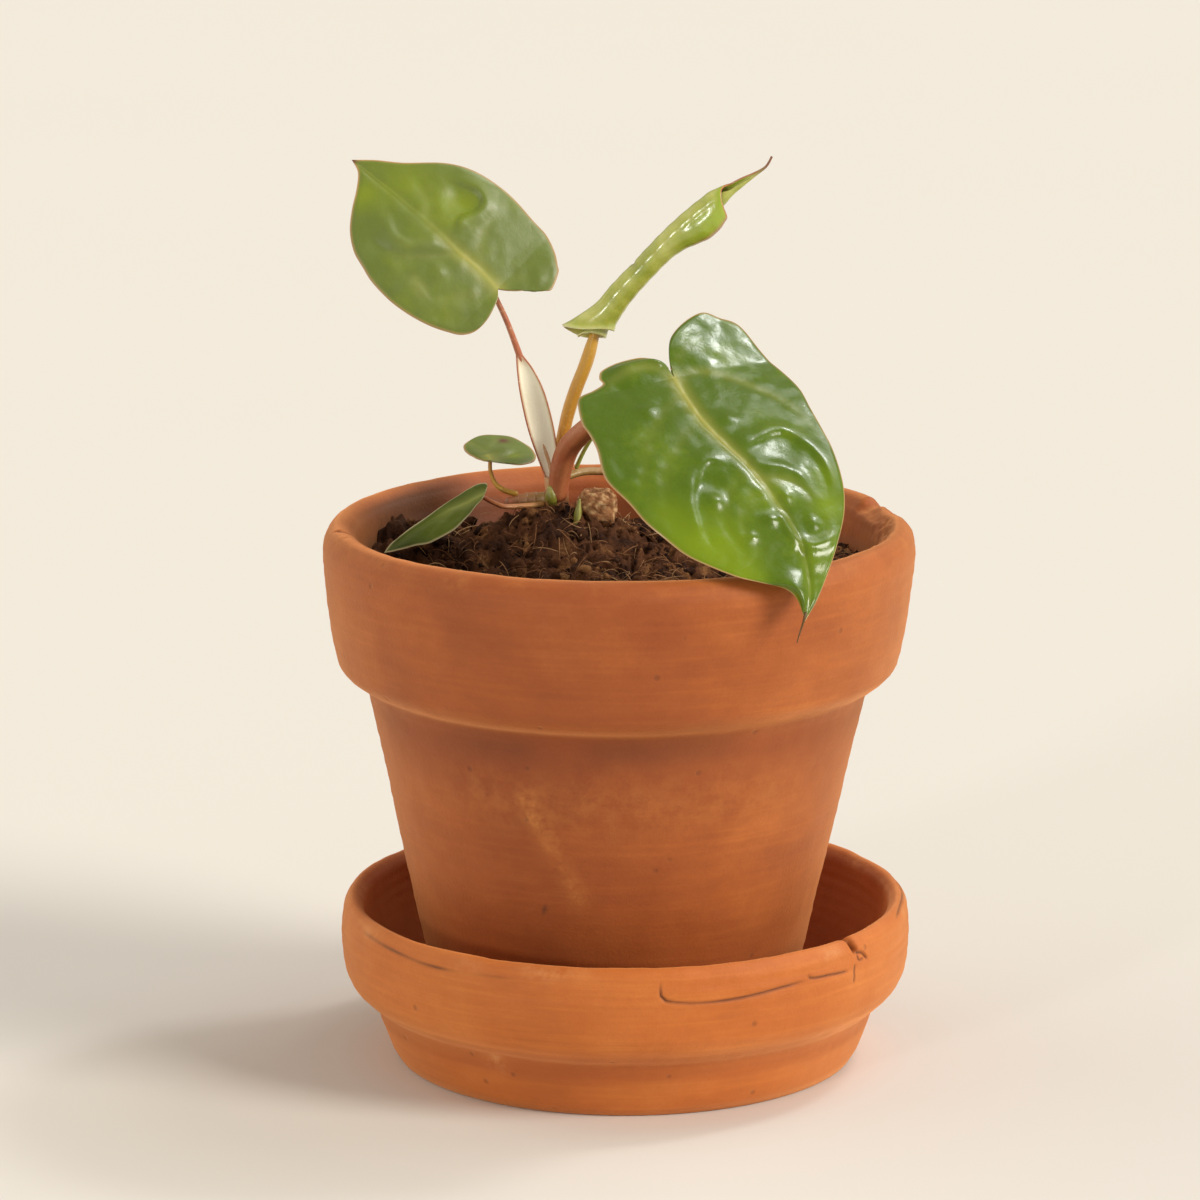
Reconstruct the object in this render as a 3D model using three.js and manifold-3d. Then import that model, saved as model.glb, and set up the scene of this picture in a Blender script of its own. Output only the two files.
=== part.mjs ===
// A potted philodendron: a clay pot in its saucer, filled with soil, and one small plant.
// Millimetres, +Z up. The origin is the centre of the saucer's underside, and the front is -Y.
import * as THREE from 'three';
import { mergeVertices } from 'three/addons/utils/BufferGeometryUtils.js';
import Module from 'manifold-3d';

const wasm = await Module();
wasm.setup();

// Driving sizes
const GAP = 0.3;
const POT_RIM_RADIUS = 64.9;
const POT_RIM_Z = 120.3;
const POT_FOOT_RADIUS = 38.2;
const POT_WALL = 5;
const COLLAR_FOOT_Z = 84.6;
const DRAIN_RADIUS = 6;
const SAUCER_RADIUS = 63.1;
const SAUCER_HEIGHT = 36;
const SAUCER_FLOOR_Z = 6.5;
const POT_FLOOR_Z = SAUCER_FLOOR_Z + 7;
const TURNS_AROUND = 48;
const BLADE_THICKNESS = 0.7;
const SMALL_BLADE_THICKNESS = 0.6;

// The pot's rim stands a little to the right of its foot.
const POT_FOOT_X = -2.5;
const POT_LEAN = 0.0085;
const potAxisX = (z) => POT_FOOT_X + POT_LEAN * (z - SAUCER_FLOOR_Z);

// The pot's body and its inside are two parallel cones.
const BODY_TAPER = 0.2176;
const bodyRadius = (z) => POT_FOOT_RADIUS + BODY_TAPER * (z - SAUCER_FLOOR_Z);
const insideRadius = (z) => bodyRadius(z) - POT_WALL;

// Colours
const CLAY_POT = { color: 0xb9683a, roughness: 0.85, metalness: 0 };
const CLAY_SAUCER = { color: 0xcc7a3e, roughness: 0.85, metalness: 0 };
const SOIL = { color: 0x3d2418, roughness: 1, metalness: 0 };
const COIR = { color: 0x8a5a38, roughness: 1, metalness: 0 };
const STEM_PINK = { color: 0xa87858, roughness: 0.55, metalness: 0 };
const PETIOLE_RED = { color: 0xa8623f, roughness: 0.4, metalness: 0 };
const PETIOLE_YELLOW = { color: 0xc49a48, roughness: 0.4, metalness: 0 };
const PETIOLE_PALE = { color: 0xb98a62, roughness: 0.45, metalness: 0 };
const STALK_TAN = { color: 0xb08a4e, roughness: 0.6, metalness: 0 };
const GREEN_DEEP = { color: 0x4f7a2c, roughness: 0.3, metalness: 0 };
const GREEN_GREY = { color: 0x5f8148, roughness: 0.4, metalness: 0 };
const GREEN_YOUNG = { color: 0xa3ae4c, roughness: 0.3, metalness: 0 };
const GREEN_BUD = { color: 0x7f8f2c, roughness: 0.5, metalness: 0 };

const vector = ([x, y, z]) => new THREE.Vector3(x, y, z);
const smooth = (from, to, value) => THREE.MathUtils.smoothstep(value, from, to);
const bell = (value) => Math.exp(-value * value);

// Solids: a closed geometry becomes a manifold, and a manifold becomes a geometry again.
function toSolid(geometry) {
  const bare = geometry.clone();
  bare.deleteAttribute('normal');
  bare.deleteAttribute('uv');
  const welded = mergeVertices(bare, 1e-4);
  const index = welded.index.array;
  const kept = [];
  for (let i = 0; i < index.length; i += 3) {
    const [a, b, c] = [index[i], index[i + 1], index[i + 2]];
    if (a !== b && b !== c && c !== a) kept.push(a, b, c);
  }
  return new wasm.Manifold(new wasm.Mesh({
    numProp: 3,
    vertProperties: Float32Array.from(welded.attributes.position.array),
    triVerts: Uint32Array.from(kept),
  }));
}

// Cutting can leave a loose scrap, which is dropped here.
const mainPiece = (solid) => solid.decompose().reduce((a, b) => (b.volume() > a.volume() ? b : a));

function toGeometry(solid) {
  const mesh = solid.getMesh();
  const geometry = new THREE.BufferGeometry();
  geometry.setAttribute('position', new THREE.BufferAttribute(Float32Array.from(mesh.vertProperties), 3));
  geometry.setIndex(Array.from(mesh.triVerts));
  geometry.computeVertexNormals();
  return geometry;
}

// A closed geometry from points and faces, turned outward if its volume comes out negative.
function closedGeometry(points, faces) {
  let volume = 0;
  for (const [a, b, c] of faces) {
    volume += points[a].dot(new THREE.Vector3().crossVectors(points[b], points[c]));
  }
  const outward = volume > 0 ? faces : faces.map(([a, b, c]) => [a, c, b]);
  const geometry = new THREE.BufferGeometry();
  geometry.setAttribute('position', new THREE.Float32BufferAttribute(points.flatMap((p) => p.toArray()), 3));
  geometry.setIndex(outward.flat());
  return geometry;
}

// A ring-shaped piece from a profile of [radius, height] points that closes on itself or on the axis.
function turned(profile, axisX = () => 0) {
  const points = profile.map(([r, z]) => new THREE.Vector2(r, z));
  const geometry = new THREE.LatheGeometry(points, TURNS_AROUND);
  geometry.rotateX(Math.PI / 2);
  const position = geometry.attributes.position;
  for (let i = 0; i < position.count; i += 1) {
    position.setX(i, position.getX(i) + axisX(position.getZ(i)));
  }
  return geometry;
}

// A tapered stalk along a smooth curve, with a flat cap at each end. A clearance makes it thicker
// and longer all round, for the hole that the stalk stands in.
function stalk(path, radii, { sides = 8, steps = 14, clearance = 0 } = {}) {
  const curve = new THREE.CatmullRomCurve3(path.map(vector));
  const taper = new THREE.SplineCurve(radii.map((r, i) => new THREE.Vector2(i, r)));
  const frames = curve.computeFrenetFrames(steps);
  const points = [];
  const faces = [];
  for (let i = 0; i <= steps; i += 1) {
    const centre = curve.getPointAt(i / steps);
    const radius = taper.getPoint(i / steps).y + clearance;
    if (i === 0) centre.addScaledVector(frames.tangents[i], -clearance);
    if (i === steps) centre.addScaledVector(frames.tangents[i], clearance);
    for (let j = 0; j < sides; j += 1) {
      const angle = (j / sides) * Math.PI * 2;
      points.push(centre.clone()
        .addScaledVector(frames.normals[i], Math.cos(angle) * radius)
        .addScaledVector(frames.binormals[i], Math.sin(angle) * radius));
      if (i === 0) continue;
      const next = (j + 1) % sides;
      const [a, b] = [(i - 1) * sides + j, (i - 1) * sides + next];
      const [c, d] = [i * sides + next, i * sides + j];
      faces.push([a, b, c], [a, c, d]);
    }
  }
  for (let j = 1; j < sides - 1; j += 1) {
    const last = steps * sides;
    faces.push([0, j + 1, j], [last, last + j, last + j + 1]);
  }
  return closedGeometry(points, faces);
}

// A thin sheet from a grid of points: rows of equal length, both faces split alike.
function sheet(rows, thickness) {
  const points = [];
  const keys = new Map();
  const grid = rows.map((row) => row.map((p) => {
    const key = p.toArray().map((value) => value.toFixed(3)).join(' ');
    if (!keys.has(key)) {
      keys.set(key, points.length);
      points.push(p);
    }
    return keys.get(key);
  }));
  const faces = [];
  for (let i = 1; i < grid.length; i += 1) {
    for (let j = 1; j < grid[i].length; j += 1) {
      const [a, b, c, d] = [grid[i - 1][j - 1], grid[i - 1][j], grid[i][j], grid[i][j - 1]];
      for (const face of [[a, b, c], [a, c, d]]) {
        if (new Set(face).size === 3) faces.push(face);
      }
    }
  }
  const normals = points.map(() => new THREE.Vector3());
  const edges = new Map();
  for (const [a, b, c] of faces) {
    const normal = new THREE.Vector3().crossVectors(
      points[b].clone().sub(points[a]), points[c].clone().sub(points[a]));
    [a, b, c].forEach((corner) => normals[corner].add(normal));
    for (const [from, to] of [[a, b], [b, c], [c, a]]) {
      const back = `${to} ${from}`;
      if (edges.has(back)) edges.delete(back);
      else edges.set(`${from} ${to}`, [from, to]);
    }
  }
  normals.forEach((normal) => normal.normalize().multiplyScalar(thickness / 2));
  const count = points.length;
  const upper = points.map((p, i) => p.clone().add(normals[i]));
  const lower = points.map((p, i) => p.clone().sub(normals[i]));
  const closed = faces.slice();
  faces.forEach(([a, b, c]) => closed.push([a + count, c + count, b + count]));
  for (const [from, to] of edges.values()) {
    closed.push([to, from, from + count], [to, from + count, to + count]);
  }
  return closedGeometry([...upper, ...lower], closed);
}

// Leaves. Each blade has its own axes: v from the joint to the tip, u to the right of it when the
// upper face is seen with the tip up, and the facing direction out of the upper face.
// A side's outline runs from the joint round its lobe to the tip, as [u, v] in millimetres.
const FRONT_LEAF = {
  joint: [10.2, -20, 155.7],
  tip: [37.2, -62, 112],
  facing: [0.25, -0.64, 0.73],
  arch: 6,
  droop: 0.003,
  puff: 1.5,
  veins: 5,
  curl: 2.2,
  midrib: [[0, 0], [1, 12.5], [0, 21], [-2.3, 29], [-4, 37.6], [-5.3, 46], [-5.2, 53], [-3.4, 60], [0, 66.3]],
  left: [[0, 0], [-0.7, -2.8], [-1.8, -6.4], [-4.1, -10.3], [-8.3, -13.4], [-12.4, -15.1], [-15.3, -15.3],
    [-18, -13.5], [-20.6, -11.9], [-22.1, -9.2], [-23.4, -3.6], [-25.1, 2.9], [-25.9, 9.9], [-25.1, 16],
    [-24.3, 23.9], [-23.6, 29.5], [-21.6, 38.5], [-18.7, 45.1], [-14.3, 51.3], [-9.7, 56.9], [-4.4, 62.6],
    [0, 66.3]],
  right: [[0, 0], [0.3, -2.7], [0.8, -5.6], [2.9, -7.4], [5.4, -8.3], [9.6, -8.4], [13.5, -7.3], [15.1, -5.3],
    [15.3, -3.3], [18.2, -2.1], [21.9, -1.2], [23.4, 1], [25.2, 6.3], [25.4, 10.3], [26.1, 15], [27.9, 21],
    [28.1, 24.8], [26.4, 30.9], [25.2, 36.5], [23.1, 41.2], [20.3, 46], [16.5, 49.7], [11.2, 53.9],
    [6.4, 56.5], [1.8, 58.8], [0, 61.6], [0, 66.3]],
};
const UPPER_LEAF = {
  joint: [-28.2, 20, 168.2],
  tip: [-60.6, 31.2, 195.2],
  facing: [0.12, -0.86, 0.5],
  arch: 3,
  droop: 0.004,
  puff: 1.1,
  veins: 4,
  curl: 0,
  midrib: [[0, 0], [0.1, 6.3], [-0.3, 11.6], [-0.2, 17.2], [-0.3, 23.7], [-0.2, 32.1], [0, 43.7]],
  left: [[0, 0], [-1.4, -1.3], [-3.4, -2.2], [-7, -3.1], [-10.6, -3], [-13.2, -1.5], [-15, 1.3], [-16.9, 5],
    [-18.2, 9], [-19, 13.7], [-19.1, 17.5], [-18.7, 21.1], [-17.7, 24.4], [-16.3, 28.4], [-13.4, 32.2],
    [-9.4, 35.3], [-4.7, 38.1], [-1.4, 40.7], [0, 43.7]],
  right: [[0, 0], [1.1, -1.6], [3.1, -3.8], [5.2, -5.9], [7.5, -8], [10.3, -8.4], [13, -6.6], [15.7, -3],
    [17.3, 0.7], [17.5, 5.2], [18, 11.2], [17.6, 16.6], [16.1, 22.8], [13.2, 28], [7, 34.6], [3.4, 39.7],
    [0, 43.7]],
};
const LOW_LEAF = {
  joint: [-31.4, 17, 122.4],
  tip: [-53.1, 1.2, 112.6],
  facing: [-0.15, -0.36, 0.92],
  arch: 1,
  droop: 0.002,
  puff: 0.2,
  veins: 3,
  curl: 0,
  midrib: [[0, 0], [0.3, 14], [0, 28.5]],
  left: [[0, 0], [-0.7, 0.6], [-2.6, 4.3], [-4.9, 8.6], [-6.7, 14], [-6.2, 19.9], [-4, 23.1], [-1.8, 26.5],
    [0, 28.5]],
  right: [[0, 0], [1.2, -1.6], [3, -3.2], [4.7, -1.4], [4, 4.3], [2.4, 13.3], [1.7, 21.3], [1.2, 25.7],
    [0, 28.5]],
};
const BACK_LEAF = {
  joint: [-30.1, 31, 127.2],
  tip: [-35.6, 40.5, 129.8],
  facing: [-0.02, -0.27, 0.96],
  arch: 0.3,
  droop: 0.008,
  puff: 0.35,
  veins: 2,
  curl: 0,
  midrib: [[0, 0], [0.6, 5], [0, 11]],
  left: [[0, 0], [-1.5, 0.9], [-2.6, 3.3], [-3, 6.4], [-2, 9.4], [0, 11]],
  right: [[0, 0], [2.1, -2.2], [4.3, -4.4], [6.4, -4.9], [8.8, -4], [10.5, -1.8], [11.4, 1.4], [11.2, 4.5],
    [10, 9.1], [6.8, 11.7], [3.4, 12.3], [0, 11]],
};

// The share of an outline that belongs to the lobe behind the joint.
const LOBE_SHARE = 0.22;

function bladeRows(leaf, rowCount, columnsAcross) {
  const joint = vector(leaf.joint);
  const along = vector(leaf.tip).sub(joint);
  const length = along.length();
  along.normalize();
  const facing = vector(leaf.facing);
  facing.addScaledVector(along, -facing.dot(along)).normalize();
  const across = new THREE.Vector3().crossVectors(along, facing);
  const spline = (outline) => new THREE.SplineCurve(outline.map(([u, v]) => new THREE.Vector2(u, v)));
  const midrib = spline(leaf.midrib);
  const sides = { left: spline(leaf.left), right: spline(leaf.right) };
  const rows = [];
  for (let i = 0; i <= rowCount; i += 1) {
    const s = i / rowCount;
    const rib = midrib.getPoint(Math.max(0, (s - LOBE_SHARE) / (1 - LOBE_SHARE)));
    const row = [];
    for (let j = -columnsAcross; j <= columnsAcross; j += 1) {
      const t = Math.abs(j) / columnsAcross;
      const edge = (j < 0 ? sides.left : sides.right).getPoint(s);
      const [u, v] = rib.clone().lerp(edge, t).toArray();
      // The blade arches along its length, droops to its sides and swells between its veins.
      const vein = Math.abs(Math.sin(Math.PI * leaf.veins * (s + 0.12 * t)));
      const swell = leaf.puff * vein * Math.sin(Math.PI * t) * Math.sin(Math.PI * s);
      const curled = j > 0 ? leaf.curl * bell((s - 0.2) / 0.12) * smooth(0.6, 1, t) : 0;
      const height = leaf.arch * Math.sin(Math.PI * THREE.MathUtils.clamp(v / length, 0, 1))
        - leaf.droop * u * u + swell - curled;
      row.push(joint.clone().addScaledVector(across, u).addScaledVector(along, v)
        .addScaledVector(facing, height));
    }
    rows.push(row);
  }
  return rows;
}

const blade = (leaf, thickness, rowCount, columns) => sheet(bladeRows(leaf, rowCount, columns), thickness);

// The new leaf is still rolled: a spiral sheet round a curved axis, open at its foot and with a
// free margin that stands out on its lower right side.
const ROLL_AXIS = [[-6.5, 24, 158.7], [-4.7, 23.4, 162.2], [-1.6, 22.8, 166.2], [1.9, 22.2, 169.8],
  [5.4, 21.5, 174], [8.5, 20.9, 177.6], [12, 20.3, 181.5], [15.7, 19.7, 184.8], [19.2, 19.1, 187.5],
  [22.3, 18.5, 189.8], [25.1, 17.8, 192.4], [28.1, 17.2, 194], [30.7, 16.6, 195.9], [32, 16, 198.2]];
const ROLL_RADIUS = 2.7;
const ROLL_PITCH = 0.95;
const ROLL_OUTER_END = THREE.MathUtils.degToRad(75);
const ROLL_TURN = THREE.MathUtils.degToRad(530);

function rolledLeafRows(rowCount, columnCount) {
  const axis = new THREE.CatmullRomCurve3(ROLL_AXIS.map(vector));
  const rows = [];
  for (let i = 0; i <= rowCount; i += 1) {
    const s = i / rowCount;
    const centre = axis.getPointAt(s);
    const tangent = axis.getTangentAt(s);
    const front = new THREE.Vector3(0, -1, 0);
    front.addScaledVector(tangent, -front.dot(tangent)).normalize();
    const below = new THREE.Vector3().crossVectors(tangent, front);
    // Near the top the outer turn ends and only the slim inner turn goes on to the tail.
    const tail = smooth(0.7, 0.8, s);
    const start = ROLL_OUTER_END - ROLL_TURN + tail * 1.6 + smooth(0.8, 1, s) * 2.4;
    const end = ROLL_OUTER_END - tail * 3.4;
    const body = ROLL_RADIUS + 0.5 * bell(s / 0.2) - tail * 0.55 - 1.05 * smooth(0.76, 1, s);
    const row = [];
    for (let j = 0; j <= columnCount; j += 1) {
      const angle = start + (end - start) * (j / columnCount);
      const inward = (ROLL_PITCH * (ROLL_OUTER_END - angle)) / (Math.PI * 2) * (1 - 0.75 * smooth(0.8, 1, s));
      const flange = 2.9 * bell((s - 0.62) / 0.13) * smooth(-0.1, 1.3, angle) * (1 - tail);
      const flare = 3.2 * (1 - smooth(0, 0.12, s)) * bell((angle + Math.PI / 2) / 0.9);
      const radius = body - inward + flange + flare;
      // The foot is cut level, so it reaches further down on the left.
      const reach = (2.5 * Math.sin(angle) - 1.5) * (1 - smooth(0, 0.15, s));
      row.push(centre.clone().addScaledVector(tangent, reach)
        .addScaledVector(front, Math.cos(angle) * radius)
        .addScaledVector(below, Math.sin(angle) * radius));
    }
    rows.push(row);
  }
  return rows;
}

// The upper leaf's stalk is winged below: a shallow trough that opens to the front.
const SHEATH_CENTRE = [[-23.6, 24.2, 152.6], [-22.2, 23.6, 149.3], [-20.7, 23.2, 144.3], [-18.9, 24, 136.5],
  [-17.7, 26, 129.6]];
const SHEATH_HALF_WIDTHS = [0.8, 2.3, 3.2, 3.3, 1.2];
const SHEATH_DEPTH_SHARE = 0.55;

function sheathRows(rowCount, columnCount) {
  const spine = new THREE.CatmullRomCurve3(SHEATH_CENTRE.map(vector));
  const widths = new THREE.SplineCurve(SHEATH_HALF_WIDTHS.map((w, i) => new THREE.Vector2(i, w)));
  const rows = [];
  for (let i = 0; i <= rowCount; i += 1) {
    const s = i / rowCount;
    const centre = spine.getPoint(s);
    const half = widths.getPoint(s).y;
    const row = [];
    for (let j = 0; j <= columnCount; j += 1) {
      const angle = (j / columnCount - 0.5) * Math.PI * 0.9;
      row.push(new THREE.Vector3(
        centre.x + half * Math.sin(angle),
        centre.y + half * SHEATH_DEPTH_SHARE * (Math.cos(angle) - 0.3),
        centre.z));
    }
    rows.push(row);
  }
  return rows;
}

// Soil: a mound round the stem, a bank at the left wall and crumbs all over.
const SOIL_LEVEL = 107;
const SOIL_HILLS = [
  { x: -13, y: 24, wide: 20, deep: 16, rise: 9.3 },
  { x: -48, y: 20, wide: 9, deep: 18, rise: 6.5 },
  { x: 44, y: 0, wide: 14, deep: 26, rise: 2.5 },
  { x: -30, y: 46, wide: 12, deep: 9, rise: -2 },
];
const soilCrumbs = (x, y) => 0.55 * Math.sin(0.61 * x + 1.3) * Math.sin(0.53 * y + 0.4)
  + 0.4 * Math.sin(1.07 * x - 0.71 * y) + 0.3 * Math.sin(0.93 * x + 1.21 * y + 2);
const soilHeight = (x, y) => SOIL_LEVEL + soilCrumbs(x, y) + SOIL_HILLS.reduce(
  (sum, hill) => sum + hill.rise * bell(Math.hypot((x - hill.x) / hill.wide, (y - hill.y) / hill.deep)), 0);

function soilBody() {
  const rings = [1, 0.94, 0.86, 0.76, 0.66, 0.55, 0.44, 0.33, 0.22, 0.1];
  const points = [];
  const faces = [];
  for (const share of rings) {
    for (let j = 0; j < TURNS_AROUND; j += 1) {
      const angle = (j / TURNS_AROUND) * Math.PI * 2;
      const [cos, sin] = [Math.cos(angle), Math.sin(angle)];
      const reach = (insideRadius(SOIL_LEVEL) - GAP) * share;
      const z = soilHeight(reach * cos, reach * sin);
      const radius = (insideRadius(z) - GAP) * share;
      points.push(new THREE.Vector3(radius * cos + potAxisX(z), radius * sin, z));
    }
  }
  const bottom = points.length;
  for (let j = 0; j < TURNS_AROUND; j += 1) {
    const angle = (j / TURNS_AROUND) * Math.PI * 2;
    const radius = insideRadius(POT_FLOOR_Z) - GAP;
    points.push(new THREE.Vector3(
      radius * Math.cos(angle) + potAxisX(POT_FLOOR_Z), radius * Math.sin(angle), POT_FLOOR_Z));
  }
  const topCentre = points.push(new THREE.Vector3(POT_FOOT_X, 0, soilHeight(0, 0))) - 1;
  const bottomCentre = points.push(new THREE.Vector3(POT_FOOT_X, 0, POT_FLOOR_Z)) - 1;
  for (let j = 0; j < TURNS_AROUND; j += 1) {
    const next = (j + 1) % TURNS_AROUND;
    for (let k = 1; k < rings.length; k += 1) {
      const [a, b] = [(k - 1) * TURNS_AROUND + j, (k - 1) * TURNS_AROUND + next];
      const [c, d] = [k * TURNS_AROUND + next, k * TURNS_AROUND + j];
      faces.push([a, b, c], [a, c, d]);
    }
    const inner = (rings.length - 1) * TURNS_AROUND;
    faces.push([inner + j, inner + next, topCentre]);
    faces.push([bottom + j, bottom + next, next], [bottom + j, next, j]);
    faces.push([bottom + next, bottom + j, bottomCentre]);
  }
  return closedGeometry(points, faces);
}

// A lump of coir: a small ball pushed in and out by waves.
function coirLump(centre, size) {
  const geometry = new THREE.IcosahedronGeometry(1, 2);
  const position = geometry.attributes.position;
  for (let i = 0; i < position.count; i += 1) {
    const p = new THREE.Vector3().fromBufferAttribute(position, i);
    const wave = 1 + 0.16 * Math.sin(4.1 * p.x + 2.3 * p.y) * Math.cos(3.3 * p.z - 1.7 * p.x);
    position.setXYZ(i, centre[0] + p.x * size[0] * wave, centre[1] + p.y * size[1] * wave,
      centre[2] + p.z * size[2] * wave);
  }
  return geometry;
}

// Clay profiles, from the inner edge at the bottom round the outside to the inside again
const potProfile = [
  [DRAIN_RADIUS, SAUCER_FLOOR_Z], [POT_FOOT_RADIUS - 1, SAUCER_FLOOR_Z], [bodyRadius(8), 8],
  [bodyRadius(44), 44], [bodyRadius(COLLAR_FOOT_Z - 1), COLLAR_FOOT_Z - 1],
  [56, COLLAR_FOOT_Z + 0.7], [57.8, 86.3], [59.6, 87.5], [61.1, 89], [62, 91.6], [63.3, 98],
  [64.4, 107], [POT_RIM_RADIUS, 113], [POT_RIM_RADIUS, 115.4], [64.2, 117.9], [62.9, 119.6],
  [61.3, POT_RIM_Z], [59.7, 119.8], [58.3, 118.4], [insideRadius(116), 116],
  [insideRadius(60), 60], [insideRadius(POT_FLOOR_Z), POT_FLOOR_Z], [DRAIN_RADIUS, POT_FLOOR_Z],
  [DRAIN_RADIUS, SAUCER_FLOOR_Z],
];
const saucerProfile = [
  [0, 0], [50, 0], [51.6, 0.9], [53.7, 6], [55.5, 11.4], [56.5, 13.1], [58.6, 14.8], [60.7, 16.8],
  [62, 19], [62.7, 21.6], [SAUCER_RADIUS, 26], [SAUCER_RADIUS, 30], [62.8, 33], [62.1, 35.1],
  [60.8, SAUCER_HEIGHT],
  [59.3, 35.3], [58.3, 33.4], [57.7, 28], [54.8, 17], [51.6, 9.6], [48.6, 7.1], [45, SAUCER_FLOOR_Z],
  [0, SAUCER_FLOOR_Z],
];

// Stem: an upright crown in the soil with a short creeping piece to its left
const CROWN_PATH = [[-15, 28.2, 106], [-15.3, 28, 117], [-15.4, 27.8, 123], [-15.4, 27.6, 127]];
const CREEPING_PATH = [[-25.8, 29, 118], [-22.2, 29, 118.6], [-18, 28.6, 119]];
function stemSolid(clearance = 0) {
  const upright = toSolid(stalk(CROWN_PATH, [2.4, 2.7, 2.9, 2.7], { steps: 8, clearance }));
  const side = toSolid(stalk(CREEPING_PATH, [1.3, 1.6, 1.6], { steps: 5, clearance }));
  return upright.add(side);
}

// Each leaf's stalk ends squarely under its blade, GAP clear of it.
const PATHS = {
  upperPetiole: [[-17.2, 27.5, 127.6], [-18.9, 26.4, 134], [-20.6, 25.6, 143], [-22.9, 24.9, 150.5],
    [-26.1, 23.4, 159.8], [-28.6, 22.6, 165.6], [-29.3, 22, 167.9], [-29.1, 20.7, 168.7]],
  newPetiole: [[-14.9, 29.1, 127.6], [-14, 27.8, 132.8], [-12.8, 26.4, 138.7], [-11, 25.2, 144.6],
    [-8.6, 24.3, 151.1], [-6.6, 23.9, 157.6]],
  frontPetiole: [[-14, 25.4, 127.6], [-12.6, 23.6, 131.6], [-9, 18, 136.6], [-3.4, 8, 142.6],
    [3.1, -6, 148.4], [8.4, -15.6, 151], [10.1, -19.1, 152.3], [10.7, -20.7, 154.1]],
  lowPetiole: [[-31.9, 16.9, 121.2], [-29.2, 20, 119.9], [-26.2, 23, 118.4], [-18.6, 26.4, 118.2]],
  backPetiole: [[-30.5, 32, 126.6], [-30.2, 31.4, 124.7], [-29, 30.8, 121.9], [-27, 30.2, 120.6],
    [-24.6, 29.3, 120]],
  sideStalk: [[-13, 29.5, 124], [-9.5, 31.5, 124.6], [-5.2, 33, 124.4], [1, 34, 123.4]],
  thinStalk: [[-10.9, 30.2, 126], [-9.3, 29.8, 129.6], [-7.4, 29, 133], [-4.6, 27.6, 137.4]],
  sprout: [[-10.7, 19.6, 112.5], [-10.6, 19.6, 116.6], [-10.2, 19.8, 120.6]],
};
const SLIM = { sides: 6, steps: 9 };
const LUMP_PLACE = [-6.6, 23.6, 118.6];
const LUMP_SIZE = [3.5, 3.3, 3.6];

const stalkSolid = (path, radii, options) => toSolid(stalk(path, radii, options));
const cutClear = (solid, ...others) => mainPiece(others.reduce((rest, other) => rest.subtract(other), solid));
const stem = stemSolid();
const stemRoom = stemSolid(GAP);
const sheath = toSolid(sheet(sheathRows(9, 6), BLADE_THICKNESS));
const upperPetiole = cutClear(
  stalkSolid(PATHS.upperPetiole, [0.95, 0.95, 0.9, 0.85, 0.65, 0.5], { steps: 22 }).add(sheath), stemRoom);
const newPetiole = cutClear(stalkSolid(PATHS.newPetiole, [1.3, 1.4, 1.45, 1.45, 1.4, 0.9]), stemRoom);
const frontPetiole = cutClear(
  stalkSolid(PATHS.frontPetiole, [1.4, 2.1, 2.2, 1.9, 1.6, 1.4, 1.1], { steps: 20 }), stemRoom);
const lowPetiole = cutClear(stalkSolid(PATHS.lowPetiole, [0.5, 0.55, 0.6, 0.6], SLIM), stemRoom);
const backPetiole = cutClear(stalkSolid(PATHS.backPetiole, [0.45, 0.45, 0.5, 0.6, 0.7], SLIM), stemRoom);
const sideStalk = cutClear(stalkSolid(PATHS.sideStalk, [0.9, 0.9, 0.85, 0.6], SLIM), stemRoom);
const sideStalkRoom = stalkSolid(PATHS.sideStalk, [0.9, 0.9, 0.85, 0.6], { ...SLIM, clearance: GAP });
const thinStalk = cutClear(stalkSolid(PATHS.thinStalk, [0.5, 0.45, 0.45, 0.4], SLIM), sideStalkRoom);
const bud = cutClear(toSolid(new THREE.SphereGeometry(1, 10, 7).rotateX(Math.PI / 2).scale(1.1, 1.5, 1.7)
  .translate(-16.4, 24.6, 121.1)), stemRoom);
const sprout = stalkSolid(PATHS.sprout, [0.6, 0.8, 0.3], SLIM);
const sproutRoom = stalkSolid(PATHS.sprout, [0.6, 0.8, 0.3], { ...SLIM, clearance: GAP });
const lump = cutClear(toSolid(coirLump(LUMP_PLACE, LUMP_SIZE)), stemRoom, sproutRoom);
const lumpRoom = toSolid(coirLump(LUMP_PLACE, LUMP_SIZE.map((half) => half + GAP)));
const soil = cutClear(toSolid(soilBody()), stemRoom, sproutRoom, lumpRoom);

const plant = new THREE.Group();
function addPiece(name, shape, look) {
  const geometry = shape.isBufferGeometry ? shape : toGeometry(shape);
  const mesh = new THREE.Mesh(geometry, new THREE.MeshStandardMaterial(look));
  mesh.name = name;
  plant.add(mesh);
}

addPiece('saucer', turned(saucerProfile), CLAY_SAUCER);
addPiece('pot', turned(potProfile, potAxisX), CLAY_POT);
addPiece('soil', soil, SOIL);
addPiece('coir_lump', lump, COIR);
addPiece('stem', stem, STEM_PINK);
addPiece('bud', bud, GREEN_BUD);
addPiece('sprout', sprout, GREEN_BUD);
addPiece('side_stalk', sideStalk, STALK_TAN);
addPiece('thin_stalk', thinStalk, GREEN_BUD);
addPiece('front_leaf_blade', blade(FRONT_LEAF, BLADE_THICKNESS, 26, 4), GREEN_DEEP);
addPiece('front_leaf_petiole', frontPetiole, PETIOLE_RED);
addPiece('upper_leaf_blade', blade(UPPER_LEAF, BLADE_THICKNESS, 22, 4), GREEN_GREY);
addPiece('upper_leaf_petiole', upperPetiole, PETIOLE_PALE);
addPiece('new_leaf_roll', sheet(rolledLeafRows(22, 20), SMALL_BLADE_THICKNESS), GREEN_YOUNG);
addPiece('new_leaf_petiole', newPetiole, PETIOLE_YELLOW);
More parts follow.
